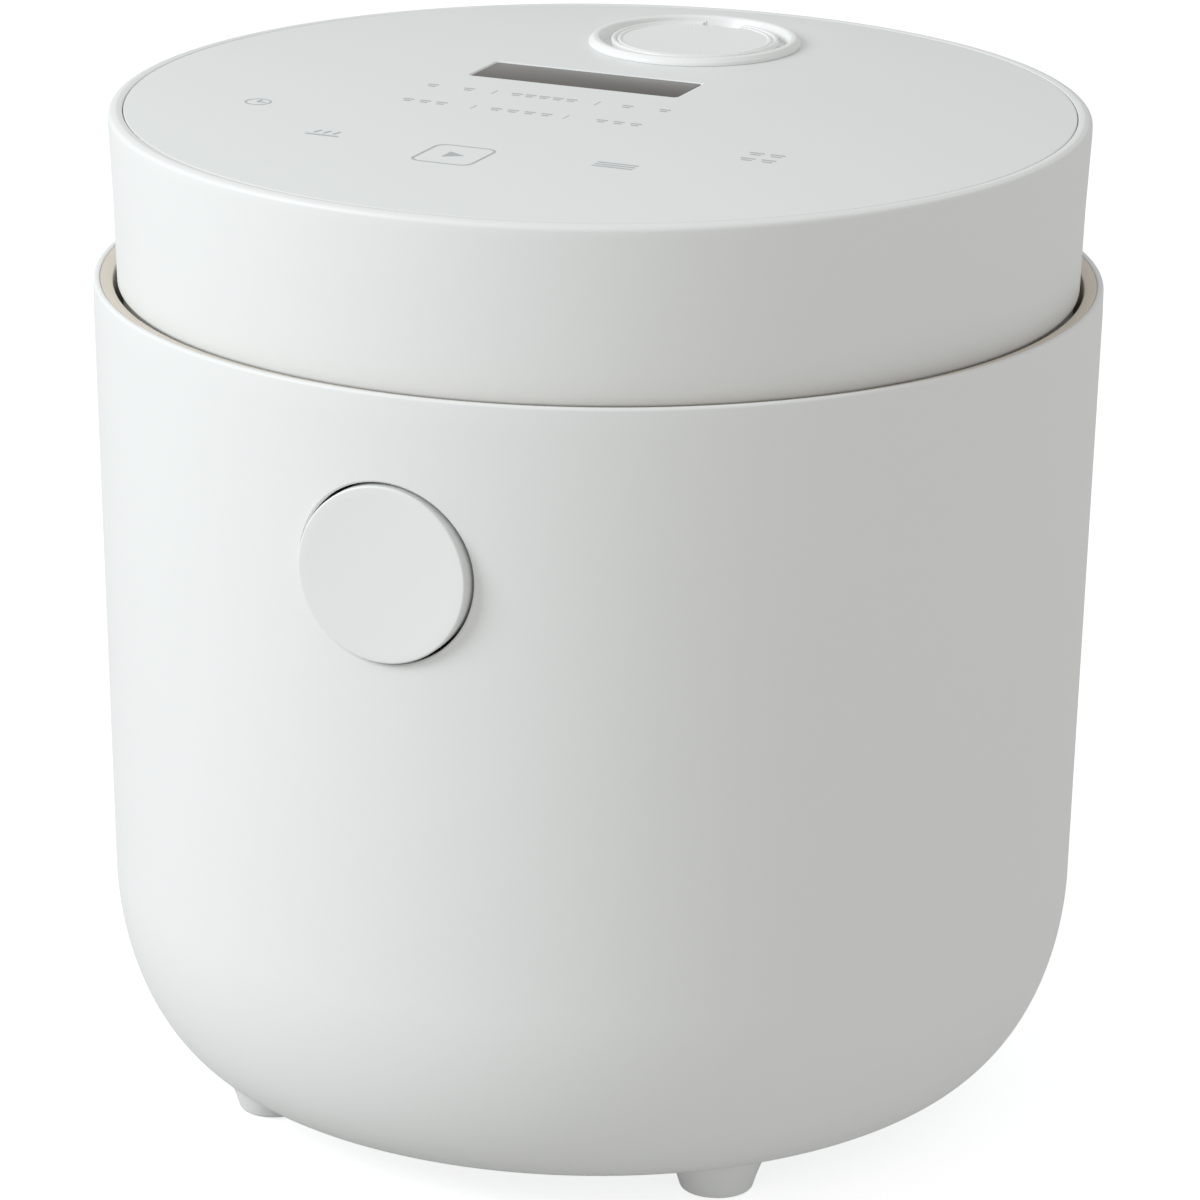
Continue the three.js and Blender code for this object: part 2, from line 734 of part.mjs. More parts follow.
// Plastic floor of the lid, with posts for the control board and holes for duct, knob and hook.
function lidLiner() {
  const { r, z, t } = LINER;
  const posts = [LID_BOARD.x[0] + 6, LID_BOARD.x[1] - 6].flatMap((x) =>
    [LID_BOARD.y[0] + 6, LID_BOARD.y[1] - 6].map((y) =>
      disc(3, z + 1, LID_BOARD.z - GAP, SEG.tiny, x, y),
    ),
  );
  const floor = join(disc(r, z, z + t, SEG.large), ...posts);
  const ductHole = disc(STEAM.duct + 2.4, z - 1, z + t + 1, SEG.small, STEAM.x, STEAM.y);
  const knobHole = disc(INNER_LID.neck, z - 1, z + t + 1, SEG.tiny);
  const hookSlot = block(
    [-LATCH.half - 2.5, STRIKER.y - 0.3, z - 1], [LATCH.half + 2.5, LATCH.y + 3.6, z + t + 1],
  );
  return piece("lid_liner", cut(floor, ductHole, knobHole, hookSlot), CREAM);
}

function striker() {
  const plate = block([-9, STRIKER.y - 1.5, STRIKER.z], [9, STRIKER.y, STRIKER.top]);
  return piece("striker", plate, STEEL);
}

// The wipe-clean plate under the lid, edged by the seal that presses on the pot's flange.
function innerLid() {
  const { r, z, t, dish, dishR, neck } = INNER_LID;
  const sheet = turned(
    [
      [neck, z - dish],
      [dishR - 2, z - dish],
      [dishR + 2, z],
      [r, z],
      [r, z + t],
      [dishR + 1, z + t],
      [dishR - 3, z + t - dish],
      [neck, z + t - dish],
    ],
    SEG.medium,
  );
  const ductHole = disc(STEAM.duct, z - 3, z + t + 1, SEG.small, STEAM.x, STEAM.y);
  return piece("inner_lid", cut(sheet, ductHole), ALUMINIUM);
}

function potGasket() {
  const { r, z, t } = INNER_LID;
  const inner = r - 3.5;
  const ring = turned(
    [
      [inner, POT.top + GAP + 0.2],
      [r + 1.6, POT.top + GAP],
      [r + 2.2, z + 0.8],
      [r + 2, z + t + 1.2],
      [inner, z + t + 1],
      [inner, z + t + GAP],
      [r + GAP, z + t + GAP],
      [r + GAP, z - GAP],
      [inner, z - GAP],
    ],
    SEG.medium,
  );
  return piece("pot_gasket", ring, SILICONE);
}

// Soft knob in the middle: its neck passes through inner lid and liner and clips above them.
function lidKnob() {
  const { z, t, dish, neck } = INNER_LID;
  const seat = z - dish - GAP;
  const clip = LINER.z + LINER.t + GAP;
  const knob = turned(
    [
      [0, seat - 6],
      [6.5, seat - 6],
      [8, seat - 4.5],
      [8, seat],
      [neck - GAP, seat],
      [neck - GAP, clip],
      [5, clip],
      [4.2, clip + t + 0.8],
      [0, clip + t + 0.8],
    ],
    SEG.small,
  );
  return piece("lid_knob", knob, SILICONE);
}

// Duct from the inner lid up to the cup under the panel, where the steam cap plugs in.
function steamPort() {
  const { x, y, duct, ductWall, cup, cupWall, floor } = STEAM;
  const foot = INNER_LID.z + INNER_LID.t + GAP;
  const rim = LID.top - PANEL.t - GAP;
  const tube = turned(
    [
      [duct, foot],
      [duct + ductWall, foot],
      [duct + ductWall, floor],
      [cup, floor],
      [cup, rim],
      [cup - cupWall, rim],
      [cup - cupWall, floor + 2],
      [duct, floor + 2],
    ],
    SEG.medium,
    x,
    y,
  );
  return piece("steam_port", tube, CREAM);
}

// Two knuckles behind the lid joined by arms to a plate inside its rear wall.
function hingeArm() {
  const { y, z, knuckle, bore } = HINGE;
  const arm = [
    [ARM.plateY + 0.5, z - 5],
    [y - 4, z - 5],
    ...around(y, z, knuckle, -120, 120, 12),
    [y - 4, z + 5],
    [ARM.plateY + 0.5, z + 5],
  ];
  const arms = [-1, 1].map((side) =>
    slab(arm, side > 0 ? ARM.from : -ARM.to, side > 0 ? ARM.to : -ARM.from, "x"),
  );
  const plate = block(
    [-ARM.plateHalf, ARM.plateY, z - 7], [ARM.plateHalf, ARM.plateBack, z + 7],
  );
  const pinHole = bar([-40, y, z], [40, y, z], bore);
  const screwHoles = HINGE_SCREW_X.map((x) =>
    bar([x, ARM.plateY - 2, z], [x, ARM.plateBack + 2, z], 1.8),
  );
  return piece("hinge_arm", cut(join(plate, ...arms), pinHole, ...screwHoles), WHITE);
}

// The screws that hold the hinge plate to the lid, driven from inside it.
function hingeScrews() {
  return HINGE_SCREW_X.map((x, i) => {
    const head = bar([x, ARM.plateY - 1.9, HINGE.z], [x, ARM.plateY - 0.2, HINGE.z], 3);
    const shank = bar([x, ARM.plateY - 0.5, HINGE.z], [x, ARM.plateY + 7.5, HINGE.z], 1.45);
    return piece("hinge_screw_" + (i + 1), join(head, shank), STEEL);
  });
}

// ---------------------------------------------------------------- steam cap
// Outer bead of the cap with the plug below it; a sloping moat parts the bead from the disc.
function capRing() {
  const { r, rise, dip, plug, wall, deep } = CAP;
  const seat = LID.top + GAP;
  return turned(
    [
      [plug - wall, seat - deep],
      [plug, seat - deep],
      [plug, seat - dip],
      [STEAM.cup - 0.2, seat - dip],
      [STEAM.cup - 0.2, seat],
      [r - 0.3, seat],
      [r, seat + 0.3],
      [r, seat + 0.8],
      [r - 0.6, seat + rise],
      [r - 1.6, seat + rise],
      [r - 2.3, seat + 0.8],
      [r - 3.1, seat - dip / 2],
      [plug - wall, seat - dip / 2],
    ],
    SEG.medium,
    STEAM.x,
    STEAM.y,
  );
}

// Disc let into the ring, with the steam's slot cut through its rear edge.
function capDisc() {
  const { plug, wall, dip, vent } = CAP;
  const { x, y } = STEAM;
  const seat = LID.top + GAP;
  const inner = plug - wall - GAP;
  const disk = turned(
    [
      [0, seat - 2],
      [inner, seat - 2],
      [inner, seat - dip / 2 + GAP],
      [plug - 0.4, seat - dip / 2 + GAP],
      [plug - 0.1, seat - 0.4],
      [plug - 0.2, seat + 0.6],
      [plug - 0.8, seat + 1],
      [plug - 1.6, seat + 0.7],
      [0, seat + 0.6],
    ],
    SEG.medium,
    x,
    y,
  );
  return cut(disk, block([x - vent, y + 14.5, seat - 3], [x + vent, y + plug + 1, seat + 3]));
}

function steamCap() {
  const { x, y } = STEAM;
  const { plug } = CAP;
  const seal = disc(plug + 1, LID.top - 6.7, LID.top - 4.7, SEG.medium, x, y, plug + 0.25);
  return [
    piece("steam_cap_ring", capRing(), WHITE),
    piece("steam_cap_disc", capDisc(), PANEL_WHITE),
    piece("steam_cap_seal", seal, SILICONE),
  ];
}

// ---------------------------------------------------------------- assembly
const cooker = group(
  "rice_cooker",
  group(
    "body",
    outerShell(), rimCollar(), heatChamber(), innerPot(), heatingPlate(), heaterElement(),
    chassis(), sensorBracket(), thermalFuse(), ...powerElectronics(),
    basePlate(), ...feet(), ...baseScrews(),
    rearHousing(), hingePin(), ...powerInlet(),
    buttonGuide(), latchBracket(), latchPin(),
    buttonSpring(), sensorSpring(),
  ),
  group("button", releaseButton()),
  group("latch", latchHook()),
  group("sensor", sensorCup()),
  group(
    "lid",
    lidShell(), touchPanel(), ...lidElectronics(), lidLiner(), striker(), innerLid(),
    potGasket(), lidKnob(), steamPort(), hingeArm(), ...hingeScrews(),
  ),
  group("steam_cap", ...steamCap()),
);
cooker.position.set(0, BODY_Y, 0);

export default cooker;
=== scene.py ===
"""Round drum-shaped rice cooker: casings, lid, steam cap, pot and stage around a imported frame.

Sizes are in millimetres unless a line says otherwise, and become metres when a mesh is made.
"""

import json
import math

import bmesh
import bpy
from mathutils import Euler, Matrix, Vector


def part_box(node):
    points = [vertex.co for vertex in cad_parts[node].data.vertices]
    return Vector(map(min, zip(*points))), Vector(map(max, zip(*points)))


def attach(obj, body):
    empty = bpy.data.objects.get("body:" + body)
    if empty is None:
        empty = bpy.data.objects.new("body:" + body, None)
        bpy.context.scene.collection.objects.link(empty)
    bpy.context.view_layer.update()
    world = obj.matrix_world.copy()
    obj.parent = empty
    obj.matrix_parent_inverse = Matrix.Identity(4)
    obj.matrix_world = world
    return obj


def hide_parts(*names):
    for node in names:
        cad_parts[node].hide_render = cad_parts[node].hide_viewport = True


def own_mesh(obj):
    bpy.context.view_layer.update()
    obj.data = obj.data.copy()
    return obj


bl_info = {
    "name": "Rice Cooker Builder",
    "version": (1, 0, 0),
    "blender": (4, 5, 0),
    "location": "3D View > Sidebar > Cooker",
    "description": "Builds the visible pieces of a round rice cooker around its packed frame",
    "category": "Object",
}

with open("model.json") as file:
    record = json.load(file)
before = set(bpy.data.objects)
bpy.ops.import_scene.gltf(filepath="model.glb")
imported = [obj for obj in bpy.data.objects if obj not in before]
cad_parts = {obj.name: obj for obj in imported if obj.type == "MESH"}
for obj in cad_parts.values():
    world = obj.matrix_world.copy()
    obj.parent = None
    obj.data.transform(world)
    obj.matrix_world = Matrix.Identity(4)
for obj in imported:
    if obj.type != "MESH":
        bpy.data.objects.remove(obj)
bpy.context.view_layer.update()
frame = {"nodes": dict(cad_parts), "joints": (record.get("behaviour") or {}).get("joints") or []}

MM = 0.001
TAU = 2 * math.pi
CORNERS = ("front_left", "front_right", "back_right", "back_left")


def edges_of(node):
    """A CAD node's lowest and highest corners in millimetres."""
    low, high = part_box(node)
    return low / MM, high / MM


# ------------------------------------------------------------------ places read from the frame
SHELL_LOW, SHELL_HIGH = edges_of("outer_shell")
BASE_LOW, _ = edges_of("base_plate")
LID_LOW, LID_HIGH = edges_of("lid_shell")
PANEL_LOW, PANEL_HIGH = edges_of("touch_panel")
WINDOW_LOW, WINDOW_HIGH = edges_of("display_window")
CAP_LOW, CAP_HIGH = edges_of("steam_cap_ring")
BUTTON_LOW, BUTTON_HIGH = edges_of("release_button")
POT_LOW, POT_HIGH = edges_of("inner_pot")
LINER_LOW, LINER_HIGH = edges_of("lid_liner")
PLATE_LOW, PLATE_HIGH = edges_of("inner_lid")
HOUSE_LOW, HOUSE_HIGH = edges_of("rear_housing")
PIN_LOW, PIN_HIGH = edges_of("hinge_pin")
INLET_LOW, INLET_HIGH = edges_of("inlet_socket")
FOOT_LOW, FOOT_HIGH = edges_of("foot_front_right")

AXIS_Y = (SHELL_LOW.y + SHELL_HIGH.y) / 2  # the upright axis that every drum turns about
BODY = (0.0, AXIS_Y)
RIM_R = SHELL_HIGH.x
RIM_Z = SHELL_HIGH.z
BASE_Z = BASE_LOW.z
LID_TOP = PANEL_HIGH.z
CAP = ((CAP_LOW.x + CAP_HIGH.x) / 2, (CAP_LOW.y + CAP_HIGH.y) / 2)
CAP_R = (CAP_HIGH.x - CAP_LOW.x) / 2
BUTTON_Z = (BUTTON_LOW.z + BUTTON_HIGH.z) / 2
BUTTON_R = (BUTTON_HIGH.z - BUTTON_LOW.z) / 2
HINGE = ((PIN_LOW.y + PIN_HIGH.y) / 2, (PIN_LOW.z + PIN_HIGH.z) / 2)
INLET_Z = (INLET_LOW.z + INLET_HIGH.z) / 2
FOOT_R = (FOOT_HIGH.x - FOOT_LOW.x) / 2
FOOT_RING = math.hypot((FOOT_LOW.x + FOOT_HIGH.x) / 2, (FOOT_LOW.y + FOOT_HIGH.y) / 2 - AXIS_Y)

WALL_R, WALL_Z = 104.8, 53.0  # where the straight wall turns into the rounded bottom
FLAT_R = 76.6  # where the rounded bottom meets the flat underside
SKIN = 2.5  # wall thickness of the casings
RIM_LIP = 1.35  # width of the shell's white lip outside the rim funnel
LID_FOOT_R = 102.9  # radius of the lid's drum where it drops into the rim
INK_Z = LID_TOP + 0.01
KNUCKLE = 7.6  # radius of the hinge's ears and arms
PIN_X = 5.5  # how far each inlet pin stands from the middle
BORE = 2.8  # radius of the hole for the hinge pin
SCREW_RING = 62.0
BUTTON_FOOT_Y = AXIS_Y - 101.0  # back edge of the button's round skirt
SEAM = 18.5  # degrees up the rounded bottom, where the base plate ends


# ------------------------------------------------------------------ settings a user would change
class CookerShape(bpy.types.PropertyGroup):
    """Sizes that shape the visible pieces."""

    turn_steps: bpy.props.IntProperty(
        name="Turn steps", description="Facets round each large drum", default=256, min=48, max=512
    )
    lip_round: bpy.props.FloatProperty(
        name="Lip rounding", description="Edge radius of the shell's rim", default=0.9 * MM,
        unit="LENGTH",
    )
    lid_round: bpy.props.FloatProperty(
        name="Lid rounding", description="Edge radius round the top of the lid", default=1.3 * MM,
        unit="LENGTH",
    )
    dish: bpy.props.FloatProperty(
        name="Button dish", description="How far the middle of the button is sunk",
        default=0.55 * MM, unit="LENGTH",
    )
    ink: bpy.props.FloatProperty(
        name="Ink thickness", description="Height of the printed signs above the panel",
        default=0.03 * MM, unit="LENGTH",
    )
    view_angle: bpy.props.FloatProperty(
        name="View angle", description="How far the camera stands to the right of the front",
        default=math.radians(23.5), unit="ROTATION",
    )


class CookerColours(bpy.types.PropertyGroup):
    """Base colours of the finishes, in linear light."""

    shell: bpy.props.FloatVectorProperty(
        name="Shell", description="Satin white casing", default=(0.800, 0.812, 0.806),
        subtype="COLOR", size=3, min=0, max=1,
    )
    panel: bpy.props.FloatVectorProperty(
        name="Panel", description="Touch panel on the lid", default=(0.795, 0.820, 0.815),
        subtype="COLOR", size=3, min=0, max=1,
    )
    collar: bpy.props.FloatVectorProperty(
        name="Collar", description="Cream plastic inside the rim", default=(0.70, 0.635, 0.55),
        subtype="COLOR", size=3, min=0, max=1,
    )
    window: bpy.props.FloatVectorProperty(
        name="Window", description="Smoked display window", default=(0.080, 0.071, 0.062),
        subtype="COLOR", size=3, min=0, max=1,
    )
    ink: bpy.props.FloatVectorProperty(
        name="Ink", description="Printed signs", default=(0.46, 0.48, 0.49),
        subtype="COLOR", size=3, min=0, max=1,
    )


def shape():
    return bpy.context.scene.cooker_shape


def colours():
    return bpy.context.scene.cooker_colours


# ------------------------------------------------------------------ shader maths
class Signal:
    """One socket of a material, with the arithmetic that its pattern needs."""

    def __init__(self, recipe, socket):
        self.recipe, self.socket = recipe, socket

    def _do(self, operation, *values):
        return self.recipe.node("ShaderNodeMath", {"operation": operation}, dict(enumerate(values)))

    def __add__(self, other):
        return self._do("ADD", self, other)

    def __radd__(self, other):
        return self._do("ADD", other, self)

    def __sub__(self, other):
        return self._do("SUBTRACT", self, other)

    def __rsub__(self, other):
        return self._do("SUBTRACT", other, self)

    def __mul__(self, other):
        return self._do("MULTIPLY", self, other)

    def __rmul__(self, other):
        return self._do("MULTIPLY", other, self)

    def __truediv__(self, other):
        return self._do("DIVIDE", self, other)

    def __gt__(self, other):
        return self._do("GREATER_THAN", self, other)

    def __lt__(self, other):
        return self._do("LESS_THAN", self, other)

    def __pow__(self, other):
        return self._do("POWER", self, other)

    def __abs__(self):
        return self._do("ABSOLUTE", self)

    def fraction(self):
        return self._do("FRACT", self)


class Recipe:
    """A material and the nodes that make its finish."""

    def __init__(self, name, **constants):
        self.material = bpy.data.materials.new(name)
        self.material.use_nodes = True
        self.tree = self.material.node_tree
        self.tree.nodes.clear()
        self.surface = self.tree.nodes.new("ShaderNodeBsdfPrincipled")
        out = self.tree.nodes.new("ShaderNodeOutputMaterial")
        self.tree.links.new(self.surface.outputs[0], out.inputs[0])
        for socket, value in constants.items():
            self.surface.inputs[socket.replace("_", " ")].default_value = value
        self.place = self.node("ShaderNodeTexCoord", output="Object")

    def node(self, kind, settings=None, sockets=None, output=0):
        """Adds a node, sets it up, fills its sockets with values or signals, gives one output."""
        made = self.tree.nodes.new(kind)
        for name, value in (settings or {}).items():
            if name == "stops":
                for stop, (position, colour) in zip(made.color_ramp.elements, value):
                    stop.position, stop.color = position, colour
            else:
                setattr(made, name, value)
        for key, value in (sockets or {}).items():
            if isinstance(value, Signal):
                self.tree.links.new(value.socket, made.inputs[key])
            else:
                made.inputs[key].default_value = value
        return Signal(self, made.outputs[output])

    def noise(self, scale, detail=2.0, place=None, output=0):
        return self.node(
            "ShaderNodeTexNoise", None,
            {"Vector": place or self.place, "Scale": scale, "Detail": detail}, output,
        )

    def axes(self):
        """The three object coordinates as separate signals."""
        split = self.tree.nodes.new("ShaderNodeSeparateXYZ")
        self.tree.links.new(self.place.socket, split.inputs[0])
        return [Signal(self, socket) for socket in split.outputs]

    def stretched(self, x, y, z):
        """Object coordinates with each axis scaled, for drawn-out patterns."""
        return self.node("ShaderNodeMapping", None, {"Vector": self.place, "Scale": (x, y, z)})

    def blend(self, factor, first, second):
        """A colour between two others; each is a tuple or a signal."""
        made = self.tree.nodes.new("ShaderNodeMix")
        made.data_type = "RGBA"
        ends = [s for s in made.inputs if s.type == "RGBA"]
        for socket, value in zip([made.inputs[0], *ends], [factor, first, second]):
            if isinstance(value, Signal):
                self.tree.links.new(value.socket, socket)
            else:
                socket.default_value = value if isinstance(value, float) else (*value[:3], 1.0)
        return Signal(self, [s for s in made.outputs if s.type == "RGBA"][0])

    def feed(self, **signals):
        for socket, value in signals.items():
            self.tree.links.new(value.socket, self.surface.inputs[socket.replace("_", " ")])
        return self

    def relief(self, height, strength, distance):
        bump = self.node(
            "ShaderNodeBump", None, {"Height": height, "Strength": strength, "Distance": distance}
        )
        return self.feed(Normal=bump)


def shade(colour, factor):
    return tuple(min(1.0, c * factor) for c in colour)


def moulded(name, colour, rough, grain=0.05, spread=0.012, **extra):
    """Moulded plastic: a fine spark-eroded grain, slow drift of tone, slight changes of gloss."""
    r = Recipe(name, **extra)
    drift = r.noise(14.0, 3.0)
    grains = r.noise(2600.0, 2.0)
    r.feed(
        Base_Color=r.blend(drift, shade(colour, 1 - spread), shade(colour, 1 + spread)),
        Roughness=(r.noise(45.0, 3.0) - 0.5) * 0.10 + (grains - 0.5) * 0.06 + rough,
    )
    return r.relief(grains, grain, 0.00012).material


def spun_metal(name, colour, rough, centre=BODY, rings=5200.0):
    """Metal turned on a lathe: fine circular tool lines about an upright axis."""
    r = Recipe(name, Metallic=1.0)
    x, y, _ = r.axes()
    dx, dy = x - centre[0] * MM, y - centre[1] * MM
    radius = (dx * dx + dy * dy) ** 0.5
    lines = r.node(
        "ShaderNodeTexNoise", {"noise_dimensions": "1D"},
        {"W": radius, "Scale": rings, "Detail": 2.0},
    )
    cloud = r.noise(30.0, 3.0)
    r.feed(
        Base_Color=r.blend(lines * 0.6 + cloud * 0.4, shade(colour, 0.93), shade(colour, 1.05)),
        Roughness=(lines - 0.5) * 0.18 + rough,
    )
    return r.relief(lines, 0.12, 0.00006).material


def drawn_metal(name, colour, rough, along=(1, 0.04, 1), metallic=1.0):
    """Sheet or wire metal with fine lines drawn out along one axis."""
    r = Recipe(name, Metallic=metallic)
    lines = r.noise(900.0, 2.0, place=r.stretched(*along))
    cloud = r.noise(60.0, 3.0)
    r.feed(
        Base_Color=r.blend(cloud, shade(colour, 0.9), shade(colour, 1.06)),
        Roughness=(lines - 0.5) * 0.22 + (cloud - 0.5) * 0.1 + rough,
    )
    return r.relief(lines, 0.08, 0.00008).material


def soft_rubber(name, colour):
    r = Recipe(name, Subsurface_Weight=0.12, Subsurface_Radius=(0.002, 0.002, 0.002))
    cloud = r.noise(80.0, 4.0)
    r.feed(
        Base_Color=r.blend(cloud, shade(colour, 0.94), shade(colour, 1.05)),
        Roughness=(cloud - 0.5) * 0.15 + 0.62,
    )
    return r.relief(r.noise(1500.0, 2.0), 0.08, 0.0001).material


def non_stick(name):
    """Dark cooking surface with pale flecks and, on its inside, level lines on one side."""
    r = Recipe(name, Specular_IOR_Level=0.5)
    x, y, z = r.axes()
    cells = r.node("ShaderNodeTexVoronoi", None, {"Vector": r.place, "Scale": 620.0}, "Distance")
    size = r.noise(210.0, 2.0)
    flecks = (cells < 0.16) * (size > 0.54)
    y_in = y - AXIS_Y * MM
    inside = (x * x + y_in * y_in) ** 0.5 < (POT_HIGH.x - 8.6) * MM
    low = (POT_LOW.z + 26) * MM
    step = ((z - low) / (12 * MM)).fraction()
    line = (step < 0.075) * (z > low) * (z < low + 60.5 * MM)
    side = (abs(x) < 11 * MM) * (y_in < 0) * inside
    dark = r.blend(r.noise(25.0, 3.0), (0.036, 0.035, 0.034), (0.050, 0.048, 0.046))
    flecked = r.blend(flecks, dark, (0.30, 0.29, 0.27))
    r.feed(
        Base_Color=r.blend(line * side, flecked, (0.45, 0.44, 0.42)),
        Roughness=(size - 0.5) * 0.16 + 0.40,
    )
    return r.relief(r.noise(1400.0, 2.0), 0.14, 0.0001).material


def smoked(name, colour):
    """Smoked display window: dark under a smooth skin, with a painted sheen making it paler towards
    the back and painted shade making it darker towards the front.
    """
    r = Recipe(name, Coat_Roughness=0.08, Specular_IOR_Level=0.4)
    _, y, _ = r.axes()
    # depth is 0 at the window's front edge and 1 at its back; it carries the painted sheen towards
    # the back and the painted shade towards the front.
    depth = (y - WINDOW_LOW.y * MM) / ((WINDOW_HIGH.y - WINDOW_LOW.y) * MM)
    haze = r.noise(120.0, 3.0)
    r.feed(
        Base_Color=r.blend(depth * 0.5 + haze * 0.5, shade(colour, 0.86), shade(colour, 1.12)),
        Roughness=(haze - 0.5) * 0.08 + 0.30,
        Coat_Weight=haze * 0.1 + 0.15,
    )
    return r.material


def circuit(name):
    """Green circuit board with paler copper tracks under the mask and small round pads."""
    r = Recipe(name, Specular_IOR_Level=0.5)
    x, y, _ = r.axes()
    wander = r.noise(160.0, 1.0) * 0.6
    tracks = abs((x * 260 + wander).fraction() - 0.5) < 0.11
    across = abs((y * 240 + wander).fraction() - 0.5) < 0.09
    spots = r.node("ShaderNodeTexVoronoi", None, {"Vector": r.place, "Scale": 210.0}, "Distance")
    pads = spots < 0.13
    zone = r.noise(55.0, 1.0) > 0.5
    copper = tracks * zone + across * (1 - zone)
    base = r.blend(copper, (0.012, 0.085, 0.032), (0.03, 0.17, 0.065))
    r.feed(
        Base_Color=r.blend(pads, base, (0.62, 0.60, 0.55)),
        Metallic=pads * 0.8,
        Roughness=0.42 - pads * 0.15,
    )
    return r.relief(copper + pads, 0.25, 0.0001).material


def printed_ink(name, colour):
    r = Recipe(name)
    patchy = r.noise(2200.0, 2.0)
    r.feed(
        Base_Color=r.blend(patchy, shade(colour, 0.9), shade(colour, 1.12)),
        Roughness=(patchy - 0.5) * 0.1 + 0.5,
    )
    return r.material


def pale_sheet(name, tone, glow):
    """Matt studio paper with the faintest mottling; a glow keeps the seen side close to white."""
    r = Recipe(name, Roughness=0.9, Emission_Strength=glow)
    cloud = r.noise(3.0, 2.0)
    r.feed(
        Base_Color=r.blend(cloud, (tone, tone, tone), (tone * 1.03, tone * 1.03, tone * 1.02)),
        Emission_Color=r.blend(cloud, (0.98, 0.99, 1.0), (1.0, 1.0, 1.0)),
    )
    return r.material


_finishes = {}


def finish_makers():
    """A maker for each finish, by the name its material gets."""
    c = colours()
    shell, panel = tuple(c.shell), tuple(c.panel)
    return {
        "satin_white": lambda n: moulded(n, shell, 0.46, 0.05, Specular_IOR_Level=0.35),
        "button_white": lambda n: moulded(
            n, shade(shell, 0.99), 0.42, 0.04, Specular_IOR_Level=0.4
        ),
        "panel_white": lambda n: moulded(n, panel, 0.34, 0.02, 0.006, Specular_IOR_Level=0.4),
        # The cap is the shell's white plastic made 7% paler: a painted highlight on the cap ring
        # and disc.
        "cap_white": lambda n: moulded(n, shade(shell, 1.07), 0.30, 0.02, 0.008),
        "collar_cream": lambda n: moulded(n, tuple(c.collar), 0.45, 0.05),
        "liner_white": lambda n: moulded(n, (0.70, 0.69, 0.67), 0.42, 0.05),
        "smoked_window": lambda n: smoked(n, tuple(c.window)),
        "sign_ink": lambda n: printed_ink(n, tuple(c.ink)),
        "grey_silicone": lambda n: soft_rubber(n, (0.60, 0.60, 0.585)),
        "foot_pad": lambda n: soft_rubber(n, (0.52, 0.53, 0.53)),
        "non_stick": non_stick,
        "spun_aluminium": lambda n: spun_metal(n, (0.74, 0.745, 0.75), 0.34),
        "zinc_steel": lambda n: drawn_metal(n, (0.60, 0.61, 0.63), 0.36),
        "dull_sheet": lambda n: drawn_metal(n, (0.50, 0.51, 0.52), 0.42, (1, 1, 0.05)),
        "bright_brass": lambda n: drawn_metal(n, (0.78, 0.60, 0.30), 0.28, (1, 0.05, 1)),
        "green_board": circuit,
        "charcoal": lambda n: moulded(n, (0.045, 0.046, 0.050), 0.5, 0.10, 0.06),
        "seen_floor": lambda n: pale_sheet(n, 0.36, 0.80),
        "bounce_floor": lambda n: pale_sheet(n, 0.84, 0.08),
    }


def finish_of(name):
    """The material of that name, made on first use."""
    if name not in _finishes:
        _finishes[name] = finish_makers()[name](name)
    return _finishes[name]


# ------------------------------------------------------------------ outlines and meshes
def rounded(points, steps=5, closed=True):
    """Pairs or (a, b, radius) triples as an outline whose corners with a radius are arcs."""
    made = []
    count = len(points)
    for i, point in enumerate(points):
        a, b = point[:2]
        radius = point[2] if len(point) > 2 else 0.0
        if radius <= 0 or (not closed and i in (0, count - 1)):
            made.append((a, b))
            continue
        here = Vector((a, b))
        back = Vector(points[i - 1][:2]) - here
        ahead = Vector(points[(i + 1) % count][:2]) - here
        half = back.angle(ahead) / 2
        run = min(radius / math.tan(half), 0.49 * back.length, 0.49 * ahead.length)
        radius = run * math.tan(half)
        inward = (back.normalized() + ahead.normalized()).normalized()
        middle = here + inward * (radius / math.sin(half))
        start = here + back.normalized() * run - middle
        sweep = start.angle_signed(here + ahead.normalized() * run - middle)
        for k in range(steps + 1):
            turn = Matrix.Rotation(-sweep * k / steps, 2)
            spot = middle + turn @ start
            made.append((spot.x, spot.y))
    return made


def area(outline):
    return sum(
        a[0] * b[1] - b[0] * a[1] for a, b in zip(outline, outline[1:] + outline[:1])
    ) / 2


def mesh_object(name, vertices, faces, finish, sharp=38.0):
    """Links a new object with its place in its mesh, in metres, smooth but for its sharp edges."""
    mesh = bpy.data.meshes.new(name)
    mesh.from_pydata([Vector(v) * MM for v in vertices], [], faces)
    made = bpy.data.objects.new(name, mesh)
    bpy.context.scene.collection.objects.link(made)
    dress(made, finish and finish_of(finish), sharp)
    return made


def dress(obj, material, sharp=38.0):
    """Gives a mesh object one material and smooth faces with its sharp edges kept."""
    mesh = obj.data
    mesh.materials.clear()
    if material:
        mesh.materials.append(material)
    mesh.polygons.foreach_set("use_smooth", [True] * len(mesh.polygons))
    mesh.polygons.foreach_set("material_index", [0] * len(mesh.polygons))
    mesh.set_sharp_from_angle(angle=math.radians(sharp))


